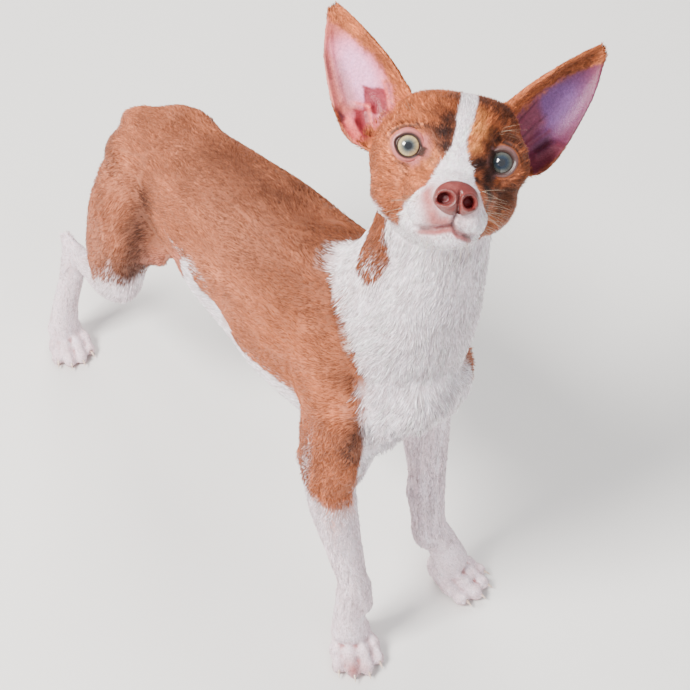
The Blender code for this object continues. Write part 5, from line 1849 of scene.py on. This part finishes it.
# %% [markdown]
# Tufts
#
# A tuft is a slim closed spindle with five points and six faces. Geometry Nodes
# scatter points over the fine skin, turn a spindle along the lie at each of them,
# raise its tip a little, scale it by the length of hair there and make the whole
# real. Each coat piece has its own seed, number of tufts and width.

# %% One tuft
TUFT_BELT = 0.60               # how far up a tuft is widest


def tuft_shape():
    """Root, a belt of three points and tip; z runs along the hair and x outwards."""
    edit = bmesh.new()
    verts = [edit.verts.new(place) for place in (
        (0, 0, 0), (0.55, 0, TUFT_BELT), (-0.30, 0.5, TUFT_BELT), (-0.30, -0.5, TUFT_BELT),
        (-0.15, 0, 1.0))]
    for corners in ((0, 2, 1), (0, 3, 2), (0, 1, 3), (4, 1, 2), (4, 2, 3), (4, 3, 1)):
        edit.faces.new([verts[corner] for corner in corners])
    mesh = mesh_from(edit, "tuft")
    store(mesh, "spot", "FLOAT_VECTOR", np.array([(0.5, 0, 0), (0.5, TUFT_BELT, 0), (1, TUFT_BELT, 0),
                                                  (0, TUFT_BELT, 0), (0.5, 1, 0)]))
    store(mesh, "reach", "FLOAT", np.array([0, TUFT_BELT, TUFT_BELT, TUFT_BELT, 1.0]))
    return put_in_scene("tuft", mesh)


COAT_INPUTS = (      # the tree's inputs: name, kind and first value
    ("Bed", "Geometry", None), ("Tuft", "Object", None), ("Piece", "Int", 0),
    ("Tufts per square metre", "Float", 1e6), ("Width", "Float", 0.00035),
    ("Length factor", "Float", 1.0), ("Lift", "Float", 0.2), ("Untidiness", "Float", 0.12),
    ("Seed", "Int", SEED), ("Material", "Material", None))


def coat_tree():
    """The tree that grows a coat piece on the bed, and the identifiers of its inputs."""
    tree = bpy.data.node_groups.new("short_coat", "GeometryNodeTree")
    sockets = {}
    for name, kind, value in COAT_INPUTS:
        socket = tree.interface.new_socket(name, in_out="INPUT", socket_type="NodeSocket" + kind)
        if value is not None:
            socket.default_value = value
        sockets[name] = socket.identifier
    tree.interface.new_socket("Coat", in_out="OUTPUT", socket_type="NodeSocketGeometry")
    given = add(tree, "NodeGroupInput").outputs

    def named(name, kind="FLOAT"):
        return add(tree, "GeometryNodeInputNamedAttribute", data_type=kind,
                   Name=name).outputs["Attribute"]

    def vector(operation, a, b=None, scale=None):
        return add(tree, "ShaderNodeVectorMath", a, b, None, scale,
                   operation=operation).outputs["Vector"]

    def number(a, b, operation="MULTIPLY"):
        return add(tree, "ShaderNodeMath", a, b, operation=operation).outputs["Value"]

    def chance(low, high, step_seed, kind="FLOAT"):
        node = add(tree, "FunctionNodeRandomValue", data_type=kind)
        open_inputs = {s.name: index for index, s in enumerate(node.inputs) if s.enabled}
        fill(tree, node, {open_inputs["Min"]: low, open_inputs["Max"]: high,
                          open_inputs["Seed"]: number(given["Seed"], float(step_seed), "ADD")})
        return next(s for s in node.outputs if s.enabled)

    def grown(kind, output="Geometry", **settings):
        return add(tree, "GeometryNode" + kind, **settings).outputs[output]

    here = add(tree, "FunctionNodeCompare", data_type="INT", operation="EQUAL")
    ints = [index for index, s in enumerate(here.inputs) if s.enabled]
    fill(tree, here, {ints[0]: named("coat_piece", "INT"), ints[1]: given["Piece"]})
    outward = vector("NORMALIZE", named("outward", "FLOAT_VECTOR"))
    mess = chance((-1, -1, -1), (1, 1, 1), 11, "FLOAT_VECTOR")
    way = vector("ADD", named("lie", "FLOAT_VECTOR"), vector("SCALE", mess, scale=given["Untidiness"]))
    way = vector("ADD", way, vector("SCALE", outward, scale=given["Lift"]))
    turn = add(tree, "FunctionNodeAxesToRotation", primary_axis="Z", secondary_axis="X",
               Primary_Axis=vector("NORMALIZE", way), Secondary_Axis=outward)
    length = number(number(named("hair_length"), given["Length factor"]), chance(0.7, 1.25, 37))
    width = number(given["Width"], chance(0.75, 1.3, 41))
    size = add(tree, "ShaderNodeCombineXYZ", number(width, 0.75), width, length)
    coat = grown("DistributePointsOnFaces", "Points", Mesh=given["Bed"],
                 Selection=here.outputs["Result"], Seed=given["Seed"],
                 Density=number(given["Tufts per square metre"], named("hair_share")))
    coat = grown("SetPosition", Geometry=coat,
                 Offset=vector("SCALE", outward, scale=number(given["Width"], -0.45)))
    coat = grown("StoreNamedAttribute", data_type="FLOAT", domain="POINT", Geometry=coat,
                 Name="shade", Value=chance(0.0, 1.0, 23))
    coat = grown("InstanceOnPoints", "Instances", Points=coat, Rotation=turn.outputs["Rotation"],
                 Instance=grown("ObjectInfo", Object=given["Tuft"]), Scale=size.outputs["Vector"])
    coat = grown("RealizeInstances", Geometry=coat)
    spot = vector("SCALE", named("spot", "FLOAT_VECTOR"), scale=TUFT_PATCH)
    coat = grown("StoreNamedAttribute", data_type="FLOAT2", domain="CORNER", Geometry=coat,
                 Name="OFBake", Value=vector("ADD", named("chart", "FLOAT_VECTOR"), spot))
    add(tree, "NodeGroupOutput", Coat=grown("SetMaterial", Geometry=coat, Material=given["Material"]))
    return tree, sockets


TUFT = tuft_shape()
COAT_TREE, COAT_SOCKETS = coat_tree()
print("coat tree nodes:", len(COAT_TREE.nodes))

# %% Coat material


def coat_material():
    """Colour from the markings and a tone for each tuft; darker at the root as painted shade under the
    coat, and lighter to the tip, partly the hair's own light tips and partly painted highlight.
    """
    material, tree = new_material("short_coat_hair")
    pelt = painted(tree, "pelt", "Color")
    each = ramp(tree, painted(tree, "shade"), (0.0, (0.62, 0.58, 0.56)), (0.45, 0.94), (0.86, 1.10),
                (1.0, (1.45, 1.48, 1.50)))
    # darker at the root as painted shade under the coat; whiter at the tip, partly the hair's own tips
    # and partly painted highlight
    tip = ramp(tree, painted(tree, "reach"), (0.0, (0.52, 0.46, 0.44)), (0.60, (0.80, 0.78, 0.77)),
               (0.80, 1.05), (1.0, (1.80, 1.92, 2.00)))
    blue = add(tree, "ShaderNodeSeparateColor", pelt).outputs["Blue"]
    calm = add(tree, "ShaderNodeMapRange", Value=blue, From_Min=0.10, From_Max=0.80, To_Min=1.0,
               To_Max=0.32)            # white tufts show their tips less
    patch = ramp(tree, noise(tree, 90.0, 3.0), (0.3, (0.90, 0.89, 0.88)), (0.7, 1.07))
    tone = blend(tree, calm.outputs["Result"], multiply(tree, pelt, each), tip, "MULTIPLY")
    set_shader(tree, Base_Color=multiply(tree, tone, patch), Roughness=0.48, Specular_IOR_Level=0.22)
    return material


hair = coat_material()

# %% Grow the coat
COAT_PLAN = {       # piece: tufts, width in metres, length factor, lift, untidiness, slot
    "face": (32500, 0.00024, 1.0, 0.18, 0.10, "brown_coat"),
    "ears": (16000, 0.00024, 1.0, 0.14, 0.12, "brown_coat"),
    "neck": (32500, 0.00034, 1.0, 0.12, 0.11, "white_coat"),
    "fore": (32500, 0.00036, 0.85, 0.13, 0.10, "brown_coat"),
    "rear": (32500, 0.00036, 0.85, 0.13, 0.10, "brown_coat"),
    "forelegs": (32500, 0.00030, 1.0, 0.13, 0.10, "white_coat"),
    "hindlegs": (32500, 0.00033, 0.9, 0.13, 0.10, "white_coat"),
}
OWN_NORMAL, SKIN_NORMAL = 0.62, 0.38     # what lights a tuft: its own face and the skin below


def piece_area(number):
    """Area that is to be covered, each face weighted by its share of hair."""
    corners = numbers_of(bed.loops, "vertex_index", 1, int)[:, 0]
    first = corners[numbers_of(bed.polygons, "loop_start", 1, int)[:, 0]]
    areas = numbers_of(bed.polygons, "area", 1)[:, 0]
    return float((areas * bed_share[first] * (bed_region[first] == number)).sum())


def soften_normals(mesh):
    """Light each tuft partly like the skin below it, so that the coat looks soft."""
    outward = unit(numbers_of(mesh.attributes["outward"].data, "vector"))
    mixed = unit(normals_of(mesh) * OWN_NORMAL + outward * SKIN_NORMAL)
    mesh.normals_split_custom_set_from_vertices(mixed.tolist())


def grow(coat):
    tufts, width, length, lift, mess, slot = COAT_PLAN[coat]
    number = list(COATS).index(coat)
    tufts *= 1.0
    item = put_in_scene("coat_" + coat, bed.copy())
    nodes = item.modifiers.new("coat", "NODES")
    nodes.node_group = COAT_TREE
    settings = {"Tuft": TUFT, "Piece": number,
                "Tufts per square metre": tufts / max(piece_area(number), 1e-6),
                "Width": width * 1.0, "Length factor": length, "Lift": lift,
                "Untidiness": mess, "Seed": SEED + 100 * number, "Material": hair}
    for name, value in settings.items():
        nodes[COAT_SOCKETS[name]] = value
    bake_modifiers(item)
    soften_normals(item.data)
    for name in ("lie", "hair_length", "hair_share", "coat_piece", "chart", "spot", "outward"):
        if name in item.data.attributes:
            item.data.attributes.remove(item.data.attributes[name])
    return finish_piece(item, "coat_" + coat, hair, slot, smooth=False)


coats = [grow(coat) for coat in COAT_PLAN]
bpy.data.objects.remove(TUFT, do_unlink=True)
print("tufts:", sum(len(coat.data.polygons) for coat in coats) // 6)

# %% Sizes before and after, and the end
{"cad": [list(c) for c in CAD_BOX], "visual": [list(c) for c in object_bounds()]}
